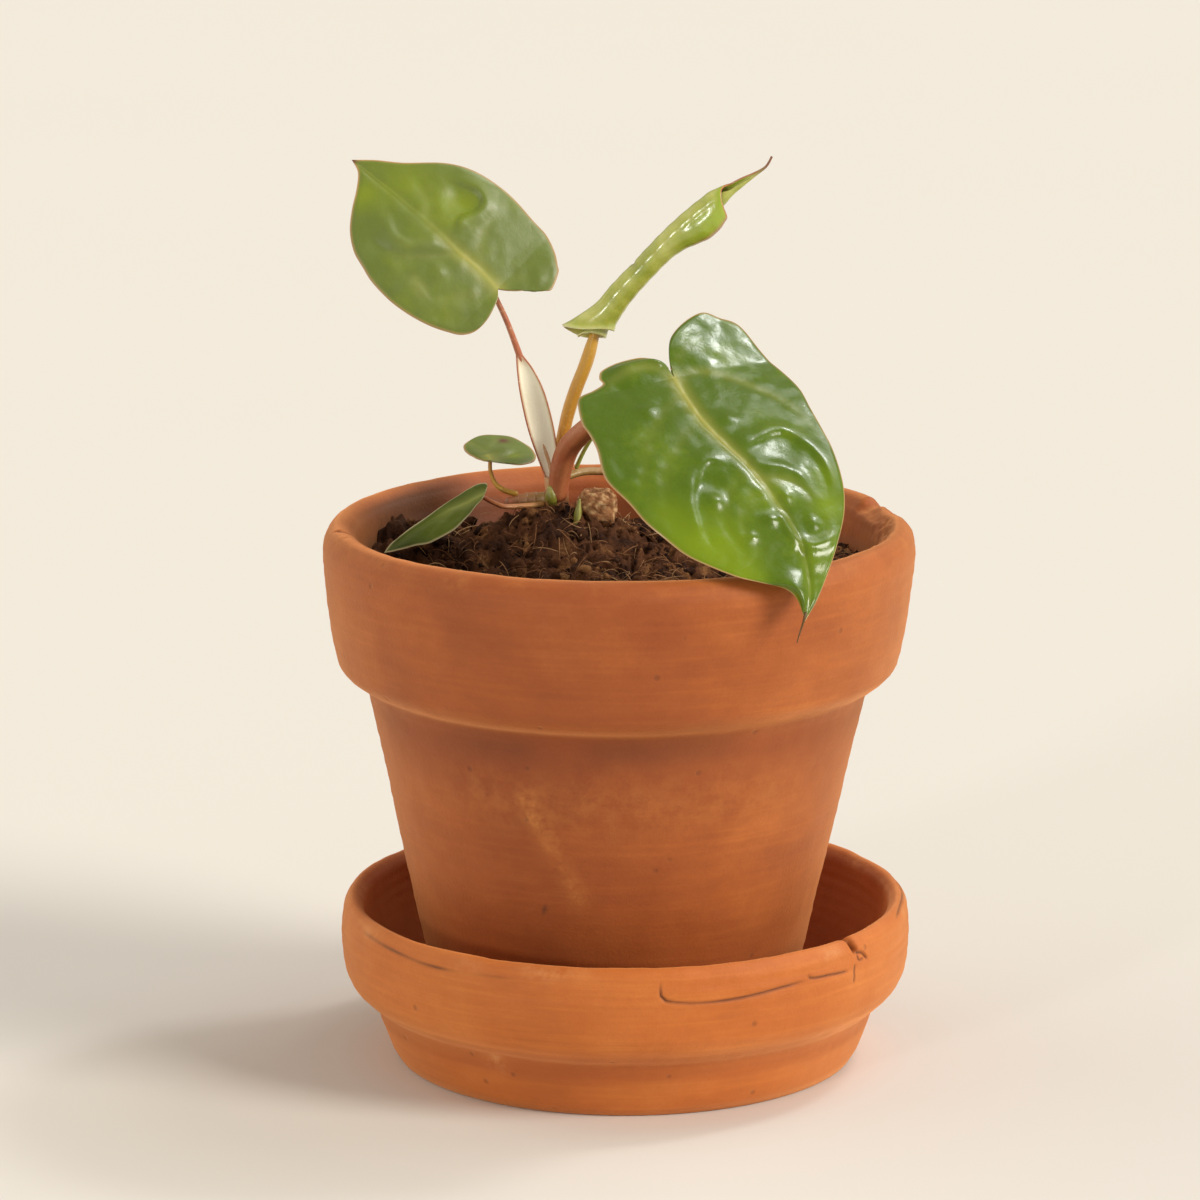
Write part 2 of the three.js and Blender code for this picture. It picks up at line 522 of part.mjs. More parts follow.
addPiece('low_leaf_blade', blade(LOW_LEAF, SMALL_BLADE_THICKNESS, 12, 2), GREEN_DEEP);
addPiece('low_leaf_petiole', lowPetiole, PETIOLE_YELLOW);
addPiece('back_leaf_blade', blade(BACK_LEAF, SMALL_BLADE_THICKNESS, 12, 2), GREEN_DEEP);
addPiece('back_leaf_petiole', backPetiole, PETIOLE_YELLOW);

export default plant;
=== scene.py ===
import math

import bmesh
import bpy
import numpy as np
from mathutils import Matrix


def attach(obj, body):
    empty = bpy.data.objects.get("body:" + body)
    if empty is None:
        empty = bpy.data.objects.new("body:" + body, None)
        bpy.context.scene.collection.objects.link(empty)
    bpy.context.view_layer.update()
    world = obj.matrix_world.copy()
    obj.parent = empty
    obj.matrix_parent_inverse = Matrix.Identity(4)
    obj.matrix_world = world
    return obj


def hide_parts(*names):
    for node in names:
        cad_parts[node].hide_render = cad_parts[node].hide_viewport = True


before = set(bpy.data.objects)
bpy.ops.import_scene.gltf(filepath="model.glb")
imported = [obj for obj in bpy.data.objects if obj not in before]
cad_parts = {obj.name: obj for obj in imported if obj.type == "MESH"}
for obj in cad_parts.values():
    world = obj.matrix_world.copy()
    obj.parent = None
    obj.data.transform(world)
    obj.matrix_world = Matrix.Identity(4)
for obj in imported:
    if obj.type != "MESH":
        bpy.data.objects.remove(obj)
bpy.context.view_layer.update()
MM = 0.001
print("nodes in the model:", len(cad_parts))

# %% [markdown]
# ## The camera
# The photograph was taken from more than a metre away with a long lens, a little above the pot's
# rim. We could look for the view by hand, but it is easier to repeat from three sizes: where the
# camera stands, how far it looks down, and how long its lens is. The pale ground would come out
# grey with Blender's own film look, so the view is set to Standard, which changes no colour.

# %% Camera
CAMERA_PLACE = (-5.63, -1200.0, 377.6)
LOOKS_DOWN = 0.2255
LENS = 167.9
SENSOR = 36.0


def link(thing):
    """Puts a new object into the scene."""
    bpy.context.scene.collection.objects.link(thing)
    return thing


camera_data = bpy.data.cameras.new("camera")
camera_data.lens = LENS
camera_data.sensor_width = SENSOR
camera = link(bpy.data.objects.new("camera", camera_data))
camera.location = [MM * value for value in CAMERA_PLACE]
camera.rotation_euler = (math.pi / 2 - LOOKS_DOWN, 0, 0)
bpy.context.scene.camera = camera
bpy.context.scene.view_settings.view_transform = "Standard"
print("camera looks down", round(math.degrees(LOOKS_DOWN), 1), "degrees")

# %% [markdown]
# ## Numbers that make shapes
# Each shape below is a function on a grid. A few helpers do the common work: a smooth step, a window and a
# bell for blending, a curve through given points, soft random lumps, and the distance from a curve, which
# is how veins and cracks find their places.

# %% Curves, lumps and distances
def smooth(start, end, value):
    """Rises from 0 at start to 1 at end along a cubic that is level at both."""
    share = np.clip((value - start) / (end - start), 0, 1)
    return share * share * (3 - 2 * share)


def window(value, opens, is_open, closes, is_shut):
    """Rises smoothly from 0 to 1 between the first two limits and falls between the last two."""
    return smooth(opens, is_open, value) * smooth(is_shut, closes, value)


def bell(value):
    """One at zero, falling off to both sides as e to the minus square."""
    return np.exp(-np.square(value))


def apart(points, spot):
    """How far each point is from a spot in space."""
    return np.linalg.norm(points - spot, axis=-1)


def spline(points, share):
    """A smooth curve through the points: a cubic from each to the next, whose slope at a point is
    half the step between its two neighbours. The share runs from 0 to 1 over all the points."""
    p = np.asarray(points, float)
    last = len(p) - 1
    place = np.clip(share, 0, 1) * last
    i = np.minimum(np.floor(place).astype(int), last - 1)
    w = (place - i)[..., None]
    before, a, b, after = p[np.maximum(i - 1, 0)], p[i], p[i + 1], p[np.minimum(i + 2, last)]
    slope_a, slope_b = (b - before) / 2, (after - a) / 2
    cubic = 2 * a - 2 * b + slope_a + slope_b
    square = -3 * a + 3 * b - 2 * slope_a - slope_b
    return ((cubic * w + square) * w + slope_a) * w + a


def even_path(points, count):
    """The same smooth curve, read at equal steps of its length."""
    fine = spline(points, np.linspace(0, 1, 400))
    length = np.concatenate([[0], np.cumsum(np.linalg.norm(np.diff(fine, axis=0), axis=1))])
    steps = np.linspace(0, length[-1], count)
    return np.stack([np.interp(steps, length, column) for column in fine.T], axis=-1)


def to_path(points, path, steps=24):
    """Distance from each point to a smooth path, the side it lies on and how far along it is. The
    path is cut in short straight steps, and the nearest step is used. In a plane the side is the
    sign of the cross product of the step and the way to the point."""
    curve = even_path(path, steps + 1)
    start, step = curve[:-1], np.diff(curve, axis=0)
    away = points[..., None, :] - start
    share = np.clip((away * step).sum(-1) / (step * step).sum(-1), 0, 1)
    distance = np.linalg.norm(away - share[..., None] * step, axis=-1)
    nearest = distance.argmin(-1)[..., None]
    side = np.sign(step[:, 0] * away[..., 1] - step[:, 1] * away[..., 0])
    pick = lambda values: np.take_along_axis(values, nearest, -1)[..., 0]
    along = (nearest[..., 0] + pick(share)) / steps
    return pick(distance), pick(side), along


def lumps(points, size, seed):
    """Soft random lumps of about one size, from -1 to 1: every corner of a cubic lattice has a
    random value, and a point blends the eight corners round it."""
    cell = np.asarray(points) / size
    low = np.floor(cell).astype(np.int64)
    w = cell - low
    w = w * w * (3 - 2 * w)
    total = np.zeros(cell.shape[:-1])
    for corner in np.ndindex(2, 2, 2):
        x, y, z = np.moveaxis(low + corner, -1, 0)
        mixed = x * 73856093 ^ y * 19349663 ^ z * 83492791 ^ (seed + 1) * 40503
        mixed = (mixed ^ (mixed >> 13)) * 1274126177
        value = ((mixed ^ (mixed >> 16)) & 0xFFFF) / 0xFFFF
        total += value * np.prod(np.where(corner, w, 1 - w), axis=-1)
    return total * 2 - 1


def octaves(points, sizes, first_seed):
    """Lumps of several sizes added up, from a dictionary of height by size."""
    return sum(height * lumps(points, size, first_seed + number)
               for number, (size, height) in enumerate(sizes.items()))


print("halfway along a test curve:", spline([[0, 0], [1, 1], [2, 0]], np.array(0.5)))

# %% [markdown]
# ## From a grid to a piece
# A grid of points becomes faces by joining neighbours. A stalk's grid closes round itself and
# gets a point at each end, a leaf's grid is doubled into an upper and a lower face with a rim
# between them. Values such as "how near is a vein" ride along as attributes for the materials.

# %% Grids, tubes and sheets
def grid_faces(rows, columns, wrap=False):
    """Four-cornered faces between neighbouring rows and columns of a grid."""
    i, j = np.meshgrid(np.arange(rows - 1), np.arange(columns - (not wrap)), indexing="ij")
    k = (j + 1) % columns
    corners = [i * columns + j, i * columns + k, (i + 1) * columns + k, (i + 1) * columns + j]
    return np.stack(corners, axis=-1).reshape(-1, 4)


def join(first, second):
    """Two shapes as one: the points in a row, the faces counted on. The first shape's values are
    kept, and they are zero on the second where it has none of that name."""
    counted = [face + len(first["points"]) for face in second["faces"]]
    blank = np.zeros(len(second["points"]))
    return {"points": np.concatenate([first["points"], second["points"]]),
            "faces": first["faces"] + counted,
            "values": {name: np.concatenate([values, second["values"].get(name, blank)])
                       for name, values in first["values"].items()}}


def ring_shape(points, values, hole=False):
    """A closed body from rings of points. The first and last ring each get a point at their middle,
    or, round a hole, faces that join the two."""
    rows, columns = points.shape[:2]
    around = np.arange(columns)
    following = (around + 1) % columns
    top = (rows - 1) * columns
    body = grid_faces(rows, columns, wrap=True)
    if hole:
        wall = np.stack([top + around, top + following, following, around], axis=-1)
        return {"points": points.reshape(-1, 3), "faces": [body, wall],
                "values": {name: grid.ravel() for name, grid in values.items()}}
    ends = np.stack([points[0].mean(0), points[-1].mean(0)])
    first = np.stack([following, around, np.full(columns, rows * columns)], axis=-1)
    last = np.stack([top + around, top + following, np.full(columns, rows * columns + 1)], axis=-1)
    return {"points": np.concatenate([points.reshape(-1, 3), ends]), "faces": [body, first, last],
            "values": {name: np.concatenate([grid.ravel(), grid[0, :1], grid[-1, :1]])
                       for name, grid in values.items()}}


FRONT = np.array([0.0, -1.0, 0.0])


def unit(vectors):
    """The same directions at a length of one."""
    return vectors / np.linalg.norm(vectors, axis=-1, keepdims=True)


def across_of(tangent, reference=FRONT):
    """Two directions square to a path: the reference made square to it, and the one beside it."""
    square = unit(reference - tangent * (tangent @ reference)[..., None])
    return square, np.cross(tangent, square)


CAP_CIRCLES = 6
CAP = np.sin(np.linspace(0.15, 1, CAP_CIRCLES) * math.pi / 2)


def tube(path, radii, sides, steps, swell, values):
    """A stalk: circles set square to a smooth path, their radii read along a curve, and each end
    rounded by smaller circles. The swell changes the radius by share along and angle round."""
    centres = even_path(path, steps)
    share = np.linspace(0, 1, steps)
    tangent = unit(np.gradient(centres, axis=0))
    radius = spline(np.asarray(radii, float)[:, None], share)[:, 0]
    bulge = np.sqrt(1 - CAP**2)[:, None]
    centres = np.concatenate([centres[0] - tangent[0] * radius[0] * bulge, centres[1:-1],
                              centres[-1] + tangent[-1] * radius[-1] * bulge[::-1]])
    radius = np.concatenate([radius[0] * CAP, radius[1:-1], radius[-1] * CAP[::-1]])
    tangent = np.concatenate([np.repeat(tangent[:1], CAP_CIRCLES, 0), tangent[1:-1],
                              np.repeat(tangent[-1:], CAP_CIRCLES, 0)])
    share = np.concatenate([np.zeros(CAP_CIRCLES), share[1:-1], np.ones(CAP_CIRCLES)])[:, None]
    angle = np.linspace(0, 2 * math.pi, sides, endpoint=False)[None, :]
    reach = radius[:, None] * (1 + swell(share, angle)) + 0 * angle
    front, beside = across_of(tangent)
    points = (centres[:, None] + front[:, None] * (np.cos(angle) * reach)[..., None]
              + beside[:, None] * (np.sin(angle) * reach)[..., None])
    return ring_shape(points, {name: rule(share, angle) + 0 * reach for name, rule in values.items()})


def sheet(points, half_thickness, values, first_normal=None):
    """A thin closed sheet: the grid moved out along its normals on one side and in on the other,
    with a rim of faces along its border. The normal is the cross product of the two steps."""
    rows, columns = points.shape[:2]
    normal = np.cross(np.gradient(points, axis=0), np.gradient(points, axis=1))
    size = np.linalg.norm(normal, axis=-1, keepdims=True)
    normal = np.where(size > 1e-9, normal / np.maximum(size, 1e-9), 0)
    if first_normal is not None:
        facing = np.sign((normal * first_normal).sum(-1).mean())
        normal = normal * facing
        blank = np.linalg.norm(normal, axis=-1) < 0.5
        normal[blank] = first_normal
        normal[[0, -1]] = first_normal
    offset = normal * np.asarray(half_thickness)[..., None]
    body = grid_faces(rows, columns)
    index = np.arange(rows * columns).reshape(rows, columns)
    border = np.concatenate([index[0, :-1], index[:-1, -1], index[-1, :0:-1], index[:0:-1, 0]])
    onward = np.roll(border, -1)
    under = rows * columns
    rim = np.stack([border, onward, onward + under, border + under], axis=-1)
    both = {name: np.concatenate([grid.ravel(), grid.ravel()]) for name, grid in values.items()}
    both["under"] = np.repeat([0.0, 1.0], rows * columns)
    points = np.concatenate([(points + offset).reshape(-1, 3), (points - offset).reshape(-1, 3)])
    return {"points": points, "faces": [body, body[:, ::-1] + under, rim], "values": both}


def add_piece(name, shape, material, replaced=None):
    """A mesh object with its place in its mesh: the points in metres, doubles welded, the faces turned
    outwards and shaded smooth. It rides on the only body and takes the given finish."""
    mesh = bpy.data.meshes.new(name)
    faces = [face for group in shape["faces"] for face in group.tolist()]
    mesh.from_pydata((shape["points"] * MM).tolist(), [], faces)
    for key, values in shape["values"].items():
        layer = mesh.attributes.new(key, "FLOAT", "POINT")
        layer.data.foreach_set("value", values.astype(np.float32))
    work = bmesh.new()
    work.from_mesh(mesh)
    bmesh.ops.remove_doubles(work, verts=work.verts, dist=2e-6)
    bmesh.ops.dissolve_degenerate(work, edges=work.edges, dist=1e-6)
    bmesh.ops.recalc_face_normals(work, faces=work.faces)
    work.to_mesh(mesh)
    work.free()
    mesh.shade_smooth()
    mesh.materials.append(material)
    piece = link(bpy.data.objects.new(name, mesh))
    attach(piece, "root")
    if replaced:
        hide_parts(replaced)
    mesh.calc_loop_triangles()
    print(name, "has", len(mesh.loop_triangles), "triangles")


print("faces between three rows of four points:", len(grid_faces(3, 4)))


# %% [markdown]
# ## Building materials from nodes
# A material is a small graph. Writing every node in full would hide the idea, so these helpers
# add one node each and return the socket that the next one needs.

# %% Node helpers
def add_node(tree, kind, output=0, settings=None, numbered=None, **named):
    """One node with its settings. Its inputs are given by number or by name, with underscores for
    spaces, and each is a value or another node's socket."""
    node = tree.nodes.new("ShaderNode" + kind)
    for key, value in (settings or {}).items():
        setattr(node, key, value)
    for key, value in {**(numbered or {}), **named}.items():
        socket = node.inputs[key if isinstance(key, int) else key.replace("_", " ")]
        if isinstance(value, bpy.types.NodeSocket):
            tree.links.new(value, socket)
        else:
            socket.default_value = value
    return node.outputs[output]


def blend(tree, factor, first, second, how="MIX"):
    """Two colours mixed by a factor."""
    return add_node(tree, "Mix", output=2, settings={"data_type": "RGBA", "blend_type": how},
                    numbered={0: factor, 6: first, 7: second})


def maths(tree, operation, *values):
    """One sum, product or other step on plain numbers."""
    return add_node(tree, "Math", settings={"operation": operation}, numbered=dict(enumerate(values)))


def vector_maths(tree, operation, *values):
    """The same on vectors."""
    return add_node(tree, "VectorMath", settings={"operation": operation},
                    numbered=dict(enumerate(values)))


def remap(tree, value, low, high, to_low=0.0, to_high=1.0):
    """A value between low and high spread over another range, and held there."""
    return add_node(tree, "MapRange", Value=value, From_Min=low, From_Max=high, To_Min=to_low,
                    To_Max=to_high)


def attribute(tree, name, amount=1.0):
    """A number that the mesh carries on its points, times an amount."""
    number = add_node(tree, "Attribute", output=2, settings={"attribute_name": name})
    return number if amount == 1.0 else maths(tree, "MULTIPLY", number, amount)


def place(tree):
    """Where a point is on the object, in metres."""
    return add_node(tree, "TexCoord", output=3)


def noise(tree, scale, detail=4.0, rough=0.55, vector=None, output=0):
    """Cloudy noise with the given number of clouds in a metre."""
    return add_node(tree, "TexNoise", output=output, Vector=vector or place(tree), Scale=scale,
                    Detail=detail, Roughness=rough)


def new_group(name, inputs, outputs):
    """An empty node group with named sockets, and the sockets at its two ends."""
    tree = bpy.data.node_groups.new(name, "ShaderNodeTree")
    for in_out, sockets in (("INPUT", inputs), ("OUTPUT", outputs)):
        for socket, kind in sockets.items():
            tree.interface.new_socket(socket, in_out=in_out, socket_type="NodeSocket" + kind)
    return tree, tree.nodes.new("NodeGroupInput").outputs, tree.nodes.new("NodeGroupOutput").inputs


def use_group(tree, group, **inputs):
    """A group placed in a material, with its inputs set; returns all its outputs."""
    return add_node(tree, "Group", settings={"node_tree": group}, **inputs).node.outputs


def new_material(name, roughness=0.5, **plain):
    """A material with one Principled shader; plain values go straight on its sockets."""
    material = bpy.data.materials.new(name)
    material.use_nodes = True
    shader = material.node_tree.nodes["Principled BSDF"]
    for key, value in {"Roughness": roughness, **plain}.items():
        shader.inputs[key.replace("_", " ")].default_value = value
    return material, material.node_tree, shader.inputs


def raise_surface(tree, height, distance, strength=1.0):
    """A bump from a height between 0 and 1, the distance in millimetres."""
    return add_node(tree, "Bump", Height=height, Distance=distance * MM, Strength=strength)


def rgb(code):
    """A screen colour such as "b9683a" as the linear values that a shader needs."""
    screen = np.array([int(code[i:i + 2], 16) / 255 for i in (0, 2, 4)])
    linear = np.where(screen <= 0.04045, screen / 12.92, ((screen + 0.055) / 1.055) ** 2.4)
    return (*linear.tolist(), 1.0)


def paint_masks(tree, color, *coats):
    """One colour after another laid on where the mesh carries its mask: name, amount and code."""
    for mask, amount, code in coats:
        color = blend(tree, attribute(tree, mask, amount), color, rgb(code))
    return color


print("terracotta as linear light:", [round(value, 3) for value in rgb("b9683a")[:3]])

# %% [markdown]
# ## Effects that several finishes share
# Clay needs grain and pits, clay and leaves need uneven colour, and every leaf has a net of small
# veins. Each effect is a node group, built once and placed in a material with that material's own
# values.

# %% Shared node groups
GRAIN, given, result = new_group(
    "grain and pits",
    {"Grain Scale": "Float", "Pit Scale": "Float", "Pit Share": "Float"},
    {"Height": "Float", "Pits": "Float"})
fine = noise(GRAIN, given["Grain Scale"], detail=6.0, rough=0.65)
cells = add_node(GRAIN, "TexVoronoi", Vector=place(GRAIN), Scale=given["Pit Scale"])
cell_color = add_node(GRAIN, "SeparateColor", Color=cells.node.outputs["Color"])
chosen = maths(GRAIN, "LESS_THAN", cell_color, given["Pit Share"])
pits = maths(GRAIN, "MULTIPLY", remap(GRAIN, cells, 0.28, 0.12), chosen)
GRAIN.links.new(maths(GRAIN, "SUBTRACT", fine, pits), result["Height"])
GRAIN.links.new(pits, result["Pits"])

MOTTLE, given, result = new_group(
    "mottle",
    {"Light": "Color", "Middle": "Color", "Dark": "Color", "Scale": "Float", "Stretch": "Vector"},
    {"Color": "Color", "Cloud": "Float"})
stretched = vector_maths(MOTTLE, "MULTIPLY", place(MOTTLE), given["Stretch"])
cloud = noise(MOTTLE, given["Scale"], detail=5.0, rough=0.6, vector=stretched)
lighter = blend(MOTTLE, remap(MOTTLE, cloud, 0.5, 0.72), given["Middle"], given["Light"])
darker = blend(MOTTLE, remap(MOTTLE, cloud, 0.5, 0.3), lighter, given["Dark"])
MOTTLE.links.new(darker, result["Color"])
MOTTLE.links.new(cloud, result["Cloud"])

NET, given, result = new_group(
    "net of small veins",
    {"Scale": "Float", "Width": "Float"},
    {"Lines": "Float", "Pillow": "Float"})
WOBBLE = (0.002, 0.002, 0.002)
bent = vector_maths(NET, "MULTIPLY_ADD", noise(NET, 160.0, detail=2.0, output=1), WOBBLE, place(NET))
border = add_node(NET, "TexVoronoi", settings={"feature": "DISTANCE_TO_EDGE"}, Vector=bent,
                  Scale=given["Scale"])
NET.links.new(remap(NET, border, given["Width"], 0.0), result["Lines"])
NET.links.new(remap(NET, border, 0.0, 0.35), result["Pillow"])
print("node groups:", [group.name for group in bpy.data.node_groups])

# %% [markdown]
# ## The clay finish
# Terracotta is matt and never one colour: it is paler where the light has dried it, brown where it holds
# water, chalky where lime has come through, and dotted with tiny pits. The mesh carries three masks for
# the marks at certain places, two of which also carry painted shade, and noise gives the rest.

# %% Clay material
EVEN = (1.0, 1.0, 1.0)
CLAY_STRETCH = (1.0, 1.0, 1.6)
DRAG_STRETCH = (0.6, 0.6, 14.0)


def clay_material(name, light, middle, dark, damp_and_shade, chalk):
    """Clay from a mottle of three colours and the wheel's faint level drag lines, then damp with painted
    shade, chalk, and dirt with painted shade, painted by masks. The sheen stands for the paler, dusty look
    of clay at its edges."""
    material, tree, shader = new_material(name, roughness=0.62, Specular_IOR_Level=0.4, Sheen_Weight=0.8,
                                          Sheen_Roughness=0.5, Sheen_Tint=rgb("f2ac70"))
    mottle = use_group(tree, MOTTLE, Light=rgb(light), Middle=rgb(middle), Dark=rgb(dark),
                       Scale=34.0, Stretch=CLAY_STRETCH)
    speck = noise(tree, 900.0, detail=3.0)
    color = blend(tree, remap(tree, speck, 0.35, 0.75, 0.0, 0.22), mottle["Color"], rgb(dark))
    drag = use_group(tree, MOTTLE, Light=rgb("ffffff"), Middle=rgb("808080"), Dark=rgb("000000"),
                     Scale=60.0, Stretch=DRAG_STRETCH)
    color = blend(tree, 0.13, color, drag["Color"], "SOFT_LIGHT")
    patchy = noise(tree, 70.0, detail=5.0, rough=0.65)
    # The damp mask also carries painted shade under the pot's collar and on its left front side.
    damp_and_shade_amount = maths(tree, "MULTIPLY", attribute(tree, "damp_and_shade"), remap(tree, patchy, 0.25, 0.6, 0.55, 1.0))
    color = blend(tree, damp_and_shade_amount, color, rgb(damp_and_shade))
    dust = noise(tree, 240.0, detail=6.0, rough=0.7)
    lime = maths(tree, "MULTIPLY", attribute(tree, "chalk"), remap(tree, dust, 0.38, 0.62))
    color = blend(tree, lime, color, rgb(chalk))
    grain = use_group(tree, GRAIN, Grain_Scale=1500.0, Pit_Scale=330.0, Pit_Share=0.035)
    dark_pits = maths(tree, "MULTIPLY", grain["Pits"], 0.35)
    # The dirt mask also carries the painted shade just under the pot's collar.
    dirt_and_shade = maths(tree, "MAXIMUM", attribute(tree, "dirt_and_shade"), dark_pits)
    color = blend(tree, dirt_and_shade, color, rgb("4a2412"))
    tree.links.new(color, shader["Base Color"])
    tree.links.new(raise_surface(tree, grain["Height"], 0.16, 0.7), shader["Normal"])
    return material


pot_clay = clay_material("pot clay", "b96628", "a6551d", "924413", "883d12", "c47a38")
saucer_clay = clay_material("saucer clay", "ca7631", "c06926", "b25e1f", "9c4a1b", "d89a60")
print("clay finishes:", pot_clay.name, "and", saucer_clay.name)

# %% [markdown]
# ## Floor and light
# The photograph has one pale floor that runs on as the background, a large soft light from the
# right, and light from all sides that keeps the shadows thin. Suns with a wide angle give soft
# shadows that are alike at every distance, so a wide floor stays even. A key and a fill shape the
# clay. The three weaker suns, two of them narrow, are there for the gloss on the leaves.

# %% Floor, suns and sky
HALF_FLOOR = 30.0
floor_mesh = bpy.data.meshes.new("floor")
corners = [(-1, -1, 0), (1, -1, 0), (1, 1, 0), (-1, 1, 0)]
floor_mesh.from_pydata((np.array(corners) * HALF_FLOOR).tolist(), [], [(0, 1, 2, 3)])
floor = link(bpy.data.objects.new("floor", floor_mesh))
floor_paint, tree, shader = new_material("floor paper", roughness=0.9, Specular_IOR_Level=0.1)
paper = blend(tree, noise(tree, 3.0, detail=2.0), rgb("dddbd4"), rgb("dfddd7"))
tree.links.new(paper, shader["Base Color"])
floor_mesh.materials.append(floor_paint)


def add_sun(name, strength, from_side, height, width, color):
    """A sun that shines from a side, in degrees to the right of the camera's own side, and from a
    height above the floor, with the width of its disc in degrees."""
    data = bpy.data.lights.new(name, "SUN")
    data.energy = strength
    data.angle = math.radians(width)
    data.color = rgb(color)[:3]
    sun = link(bpy.data.objects.new(name, data))
    sun.rotation_euler = (math.radians(90 - height), 0, math.radians(from_side))


add_sun("key", 2.5, from_side=66, height=28, width=24, color="fff8ee")
add_sun("left fill", 0.85, from_side=-100, height=24, width=70, color="fff0dc")
add_sun("softbox", 0.6, from_side=122, height=54, width=36, color="ffffff")
add_sun("softbox core", 0.5, from_side=122, height=54, width=8, color="ffffff")
add_sun("window", 0.6, from_side=-35, height=12, width=7, color="ffffff")
world = bpy.data.worlds.new("studio")
bpy.context.scene.world = world
world.use_nodes = True
sky = world.node_tree.nodes["Background"]
sky.inputs["Color"].default_value = rgb("f6ecdf")
sky.inputs["Strength"].default_value = 0.47
print("lights:", [light.name for light in bpy.data.lights])

# %% [markdown]
# ## Turning the saucer and the pot
# Both were shaped on a wheel, so each is a profile carried round an axis. A plain turned shape looks like
# plastic, so the surface is moved along its normal by soft lumps, by fine rings that the maker's fingers
# left, and by cracks, which are bells of depth along a given path. A crack could also be painted, but a
# real dent catches the light. Points lie closer together only where a crack needs them.

# %% Turned clay
def turned_grid(profile, angles, axis_x):
    """The profile's points carried round the axis: x is radius times the sine of the angle, y is
    minus radius times its cosine, so that an angle of zero faces the camera."""
    radius, height = profile[:, 0][:, None], profile[:, 1][:, None]
    x = axis_x(height) + radius * np.sin(angles)
    return np.stack([x, -radius * np.cos(angles), height + 0 * x], axis=-1)


def profile_points(corners, spacing):
    """A profile with rounded corners, read at steps of a given length that may differ by height.
    The curve through the corners is read finely, then thinned by adding up step over spacing."""
    fine = spline(corners, np.linspace(0, 1, 6000))
    step = np.linalg.norm(np.diff(fine, axis=0), axis=1)
    ticks = np.concatenate([[0], np.cumsum(step / spacing((fine[1:, 1] + fine[:-1, 1]) / 2))])
    at = np.linspace(0, ticks[-1], int(ticks[-1]) + 2)
    return np.stack([np.interp(at, ticks, column) for column in fine.T], axis=-1)


def spread_angles(step, windows):
    """Angles round the axis in degrees, a step apart, and closer in each window (from, to, step)."""
    stations = [np.arange(-180, 180, step)]
    for start, end, fine_step in windows:
        stations = [part[(part < start) | (part > end)] for part in stations]
        stations.append(np.arange(start, end, fine_step))
    return np.radians(np.sort(np.concatenate(stations)))


def on_wall(angle, radius, height, axis_x):
    """A place on the clay, from degrees round the axis, radius and height."""
    turn = math.radians(angle)
    return [axis_x(height) + radius * math.sin(turn), -radius * math.cos(turn), height]


def outward(points):
    """Directions square to a turned grid, pointing away from the clay."""
    along = np.gradient(points, axis=0)
    around = np.roll(points, -1, 1) - np.roll(points, 1, 1)
    normal = np.cross(around, along)
    return normal / np.maximum(np.linalg.norm(normal, axis=-1, keepdims=True), 1e-9)


def cut_cracks(points, normal, cracks, axis_x):
    """Moves points inwards near each crack, by its depth times a bell of distance over width that
    fades at both ends. Returns the moved points and how deep in a crack each one is, 0 to 1."""
    inside = np.zeros(points.shape[:2])
    moved = points.copy()
    for places, width, depth in cracks:
        path = [on_wall(*at, axis_x) for at in places]
        near = np.abs(points - np.mean(path, axis=0)).max(-1) < np.ptp(path, axis=0).max() + 4 * width
        distance, _, along = to_path(points[near], path)
        dip = bell(distance / width) * window(along, -0.02, 0.1, 0.85, 1.02)
        moved[near] -= normal[near] * (depth * dip)[:, None]
        inside[near] = np.maximum(inside[near], dip)
    return moved, inside


print("angles round the wheel, one every 1.3 degrees:", len(spread_angles(1.3, [])))

# %% [markdown]
# ## The saucer
# Fine cracks run along its lip, and there is a notch in it at the front right. Each crack is a path of
# places in degrees, radius and height, with a width and a depth. The masks say where the clay is darker,
# where lime has come through and where dirt sits in the cracks.

# %% The saucer
SAUCER_PROFILE = [[0.01, 0], [30, 0], [49, 0], [50.6, 0.2], [51.6, 0.9], [53.7, 6], [55.5, 11.4],
                  [56.5, 13.1], [58.6, 14.8], [60.7, 16.8], [62, 19], [62.7, 21.6], [63.1, 26],
                  [63.1, 30], [62.8, 33], [62.1, 35.1], [60.8, 36], [59.3, 35.3], [58.3, 33.4],
                  [57.7, 28], [54.8, 17], [51.6, 9.6], [48.6, 7.1], [45, 6.5], [20, 6.5], [0.01, 6.5]]
SAUCER_CRACKS = [
    ([(6.5, 63, 33.7), (6.6, 63.1, 30.6), (8, 63.1, 29.3), (13.5, 63.1, 28.6), (21.5, 63.1, 28.7),
      (32, 63.1, 29.7), (37.8, 63.1, 30.2)], 0.3, 0.5),
    ([(38.2, 63.1, 31.6), (39.1, 63.1, 30.4), (44, 63.1, 30), (49.6, 63.1, 29.6)], 0.28, 0.45),
    ([(50, 58.8, 35.4), (51.2, 60.8, 36), (51.9, 62.6, 34.4), (52.7, 62.9, 32.8)], 0.75, 2.6),
    ([(52.5, 62.9, 32.9), (54.4, 63, 32.4), (56, 63.1, 30.6)], 0.3, 0.7),
    ([(52.6, 63, 32.6), (53, 63.1, 31.2), (54.6, 63.1, 31.2)], 0.22, 0.4),
    ([(51.5, 63.1, 30.6), (51.3, 63.1, 28.5), (51.4, 63, 26.5)], 0.3, 0.15),
    ([(72, 62.2, 35), (80, 61.6, 35.5), (92, 61.7, 35.4), (108, 62, 35.2), (120, 62.4, 34.8)], 0.35, 0.4),
    ([(-66, 62.7, 33.9), (-52.4, 62.8, 33.1), (-40.7, 62.9, 32.5), (-23, 62.9, 32.9)], 0.35, 0.12),
]
SAUCER_FINE_ANGLES = [(-4, 49, 0.45), (49, 58, 0.18), (5.6, 8.0, 0.18)]
LIME_SPOT = (-30.5, 55.6, 11.7)
upright = lambda z: 0 * z
saucer_spacing = lambda z: np.where(z > 27, 0.3, np.where(z > 8, 0.9, 2.6))


